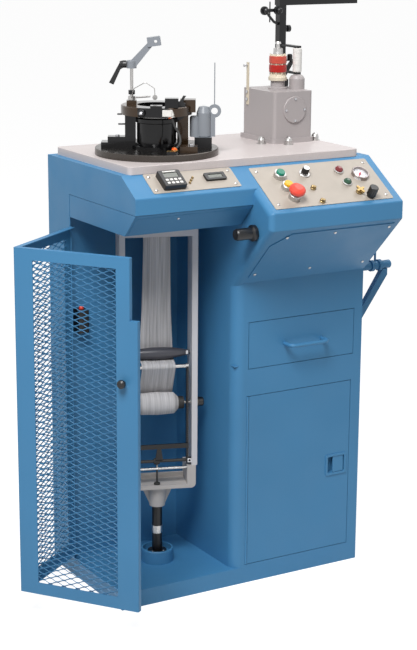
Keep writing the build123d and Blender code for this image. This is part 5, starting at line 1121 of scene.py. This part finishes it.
HEAD_ZONES = {
    "cam_housing": [
        ("polished disc", HEAD_TOP, (-160, -160, TABLE_TOP - 0.5), (160, 160, DISC_TOP + 0.3)),
        ("brown steel", HEAD_TOP, (57.5, -98, DISC_TOP + 0.4), (101, -59, DISC_TOP + 14.5)),
        ("brown steel", HEAD_TOP, (60, -15, DISC_TOP + 0.5), (78, 19, RING_LOW + 0.5)),
    ],
    "ring_plate": [
        ("brown steel", HEAD_TOP, (30, -95, RING_LOW - 0.5), (110, 95, RING_TOP - 0.5)),
        ("brown steel", HEAD_TOP, (62, -27, RING_TOP - 0.5), (110, 9, RING_TOP + 14.5)),
        ("brown steel", HEAD_TOP, (-110, -95, RING_LOW - 0.5), (-42, 95, RING_TOP + 23.5)),
    ],
    "head_motor": [
        ("black paint", HEAD_TOP, (90, -21, DISC_TOP - 0.5), (135, 21, MOTOR_FOOT_TOP - 0.3)),
    ],
    "swing_arm": [
        ("bright steel", HEAD_TOP, (-70, -10, RING_LOW - 0.5), (-50, 10, POST_TOP - 1)),
        ("black paint", HEAD_TOP, (-70, -10, COLLAR_HEIGHTS[0]), (-50, 10, COLLAR_HEIGHTS[1])),
    ],
    "hose_fittings": [
        hose_zone("white plastic", HOSE_HIGH_SEAT, HOSE_HIGH_SEAT + 23),
        hose_zone("orange plastic", HOSE_HIGH_SEAT - 9, HOSE_HIGH_SEAT),
        hose_zone("brass", HOSE_LOW_SEAT, HOSE_LOW_SEAT + 29),
        hose_zone("orange plastic", HOSE_LOW_SEAT + 3, HOSE_LOW_SEAT + 8),
        hose_zone("polished black", HOSE_LOW_SEAT - 11, HOSE_LOW_SEAT),
    ],
}
# Across, away from the operator, height, radius and how tall
HEAD_BOLTS = ((-95, 0, 1139.5, 5, 3.5), (84, -78, 1127.5, 5, 4))
FITTINGS_FACING = Vector((-0.511, -0.860, 0))
FITTINGS_HEIGHT = 1.205
BALL_RADIUS = 5.2
BALL_REACH = 14.5
# The lever's outline on the ring's top, in millimetres aside and up
LEVER_OUTLINE = (
    (0, -1), (34, -1), (34, 8), (29, 9), (32, 20), (36, 25), (29, 26), (24, 17), (20, 12), (0, 14),
)


class KNIT_OT_head_details(Operator):
    """Paints the head's blocks and adds its bolts, its adjusting knob, a union and the top lever"""

    bl_idname = "knit.head_details"
    bl_label = "Head Details"

    def execute(self, context):
        paint_zones(HEAD_ZONES)
        shape = Shape()
        for across, away, height, radius, tall in HEAD_BOLTS:
            bolt = HEAD_TOP @ Matrix.Translation((across, away, height))
            stations = ((radius, -0.5), (radius, tall - 1), (radius - 1, tall))
            shape.turned(bolt, "chrome", *stations, count=6)
        self.add_front(shape)
        shape.piece("head_fittings", "cabinet", "black_steel")
        return {"FINISHED"}

    def add_front(self, shape):
        """The adjusting knob with its bright ball, the brass union, and the ring's lever."""
        facing = FITTINGS_FACING
        aside = UP.cross(facing)
        middle = head_point(0, 0, FITTINGS_HEIGHT)
        knob = place_at(middle + aside * -0.034 + facing * 0.078, facing)
        shape.turned(knob, "black plastic", (9, -2), (9, 9), (7.5, 11))
        ball = [
            (BALL_RADIUS * cos(radians(a)), BALL_REACH + BALL_RADIUS * sin(radians(a)))
            for a in range(-75, 90, 15)
        ]
        shape.turned(knob, "chrome", (2, 10), *ball, count=20)
        union = place_at(middle + aside * -0.006 + facing * 0.085, facing)
        hexagon = ((3, -2), (3, 5), (4.5, 5), (4.5, 9), (2.6, 10), (2.6, 14))
        shape.turned(union, "brass", *hexagon, count=6)
        seat = head_point(0, 0, RING_TOP / 1000 + 0.0005)
        lever = place_at(seat + aside * 0.036 + facing * 0.045, facing)
        shape.slab(lever, "black plastic", LEVER_OUTLINE, -5, 5, 0.6)


# Gearbox and yarn feeder

REEL_FOOT = (0.232, 0.0425, 1.249)
REEL_WINDINGS = {"red yarn": (21, 40), "pale red yarn": (43, 62)}
# Radii of the reel's bars, and of a winding at its ends and at its middle, in millimetres
REEL_BARS = 19.5
REEL_YARN = 22.4
REEL_BULGE = 22.8
GUIDE_EDGE = 171.9
FEEDER_ZONES = {
    "gearbox": [
        round_zone("chrome", COVER_FACE, 37, 4.1, 7),
        ("cream plastic", MACHINE, (GUIDE_EDGE, 86, 1184), (174.4, 99, 1295)),
        ("chrome", MACHINE, (150, 80, 1184), (GUIDE_EDGE, 105, 1295)),
    ],
    "feeder_reel": [("satin aluminium", MACHINE, (200, 10, 1315.5), (260, 75, 1350))],
    "interlock_switch": [("red plastic", MACHINE, (-330, 60, 702.2), (-300, 99, 712))],
}


class KNIT_OT_feeder_details(Operator):
    """Paints the gearbox's and the door switch's small parts and winds the feeder's reel"""

    bl_idname = "knit.feeder_details"
    bl_label = "Yarn Feeder Details"

    def execute(self, context):
        paint_zones(FEEDER_ZONES)
        shape = Shape()
        reel = place_at(REEL_FOOT, UP, (0, 1, 0))
        for finish, (low, high) in REEL_WINDINGS.items():
            half = ((REEL_BARS, low), (REEL_YARN, low + 0.8), (REEL_BULGE, (low + high) / 2))
            rest = ((REEL_YARN, high - 0.8), (REEL_BARS, high))
            shape.turned(reel, finish, *half, *rest, count=48, closed=True)
        shape.piece("reel_yarn", "feeder_reel", "copper_reel")
        return {"FINISHED"}


# Yoke's rollers, nuts and levers

ROLL = place_at(yoke_point(0, 0, 0.463), ACROSS)
HUB_PAINT = [
    round_zone("black rubber", ROLL, 40, 52.9, 68),
    round_zone("black rubber", ROLL, 40, -68, -52.9),
]
YOKE_ZONES = {
    "takeup_roll": HUB_PAINT,
    "takeup_axle": [
        *HUB_PAINT,
        round_zone("cream plastic", ROLL, 8, 98.8, 104.1),
        round_zone("black plastic", ROLL, 13, 104.1, 119),
    ],
    "yoke_rods": [
        ("bright steel", YOKE_FRONT, (-90, 558, 15), (90, 572, 33)),
        ("bright steel", YOKE_FRONT, (-90, 292, -20), (90, 304, 60)),
    ],
    "press_lever": [
        ("bright steel", YOKE_FRONT, (-9, 264, -40), (1, 313, 60)),
        ("bright steel", YOKE_FRONT, (-90, 558, 17), (90, 572, 31)),
    ],
    "yoke_column": [("satin aluminium", YOKE_FRONT, (-20, 118.8, -20), (20, 139.2, 20))],
}
# Radius and distance along the axis, in millimetres
RIB_SECTION = ((14, -0.8), (16, -0.8), (16, 0.8), (14, 0.8))
RIBS_FROM = 55.5
RIB_SPACING = 3
RIBS = 4
COLLAR_SECTION = ((4.2, 0), (7.6, 0), (7.6, 5.5), (4.2, 5.5))
COLLAR_FROM = 0.0725
SPREADER_HEIGHT = 0.594
NUT_PLACE = (0.0785, 0.0245, 0.318)
FLANGE_BOLTS = 4
BOLT_CIRCLE = 20
FLANGE_TOP = 70.5


class KNIT_OT_yoke_details(Operator):
    """Paints the yoke's small parts and adds its ribs, collars, nut and bolts"""

    bl_idname = "knit.yoke_details"
    bl_label = "Yoke Details"

    def execute(self, context):
        paint_zones(YOKE_ZONES)
        self.add_roller_trim()
        self.add_lever_nut()
        self.add_flange_bolts()
        return {"FINISHED"}

    def add_roller_trim(self):
        """The ribs on the roll's hubs and the bright collars beside the spreader."""
        ribs = Shape()
        collars = Shape()
        for side in (-1, 1):
            for step in range(RIBS):
                across = side * (RIBS_FROM + RIB_SPACING * step)
                rib = ROLL @ Matrix.Translation((0, 0, across))
                ribs.turned(rib, "black rubber", *RIB_SECTION, closed=True)
            place = place_at(yoke_point(side * COLLAR_FROM, 0, SPREADER_HEIGHT), ACROSS * side)
            collars.turned(place, "chrome", *COLLAR_SECTION, closed=True)
        ribs.piece("takeup_hub_ribs", "takeup", "rubber_black")
        collars.piece("spreader_collars", "spreader_roller", "chrome")

    def add_lever_nut(self):
        """The square nut on the tension lever's arm, with a near-black disc of painted shade for its
        hole.
        """
        shape = Shape()
        nut = place_at(yoke_point(*NUT_PLACE), TOWARDS)
        shape.slab(nut, "chrome", oblong(11, 11, 1.5), -2, 7, 0.8)
        # A near-black disc on the nut's face is painted shade in place of its hole
        shape.turned(nut, "dark recess", (3, 6.5), (3, 7.1))
        shape.piece("tension_lever_nut", "press_lever", "chrome")

    def add_flange_bolts(self):
        """The four bolts of the column's flange."""
        shape = Shape()
        for k in range(FLANGE_BOLTS):
            turn = pi / 4 + k * pi / 2
            spot = (BOLT_CIRCLE * cos(turn), BOLT_CIRCLE * sin(turn), FLANGE_TOP)
            bolt = YOKE_COLUMN @ Matrix.Translation(spot)
            shape.turned(bolt, "chrome", (2.8, -0.5), (2.8, 2), (2.2, 2.6), count=6)
        shape.piece("flange_bolts", "rotor", "bright_steel")


CLASSES = (
    StageSettings,
    PaintSettings,
    GuardMeshSettings,
    ClothSettings,
    KNIT_OT_stage,
    KNIT_OT_finishes,
    KNIT_OT_guard_mesh,
    KNIT_OT_knitted_tube,
    KNIT_OT_console_details,
    KNIT_OT_hood_cover,
    KNIT_OT_head_details,
    KNIT_OT_feeder_details,
    KNIT_OT_yoke_details,
)

SETTINGS = {
    "knit_stage": StageSettings,
    "knit_paint": PaintSettings,
    "knit_mesh": GuardMeshSettings,
    "knit_cloth": ClothSettings,
}


class KNIT_PT_machine(Panel):
    """Lists the steps and the settings"""

    bl_label = "Knitting Machine"
    bl_idname = "KNIT_PT_machine"
    bl_space_type = "VIEW_3D"
    bl_region_type = "UI"
    bl_category = "Knitting Machine"

    def draw(self, context):
        layout = self.layout
        for step in CLASSES:
            if issubclass(step, Operator):
                layout.operator(step.bl_idname)
        for name in SETTINGS:
            group = getattr(context.scene, name)
            box = layout.box()
            for field in group.__annotations__:
                box.prop(group, field)


def register():
    for kind in (*CLASSES, KNIT_PT_machine):
        bpy.utils.register_class(kind)
    for name, group in SETTINGS.items():
        setattr(bpy.types.Scene, name, PointerProperty(type=group))


def unregister():
    for name in SETTINGS:
        delattr(bpy.types.Scene, name)
    for kind in reversed((*CLASSES, KNIT_PT_machine)):
        bpy.utils.unregister_class(kind)


def main():
    """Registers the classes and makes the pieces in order."""
    register()
    bpy.ops.knit.stage()
    bpy.ops.knit.finishes()
    bpy.ops.knit.guard_mesh()
    bpy.ops.knit.knitted_tube()
    bpy.ops.knit.console_details()
    bpy.ops.knit.hood_cover()
    bpy.ops.knit.head_details()
    bpy.ops.knit.feeder_details()
    bpy.ops.knit.yoke_details()


if __name__ == "__main__":
    main()
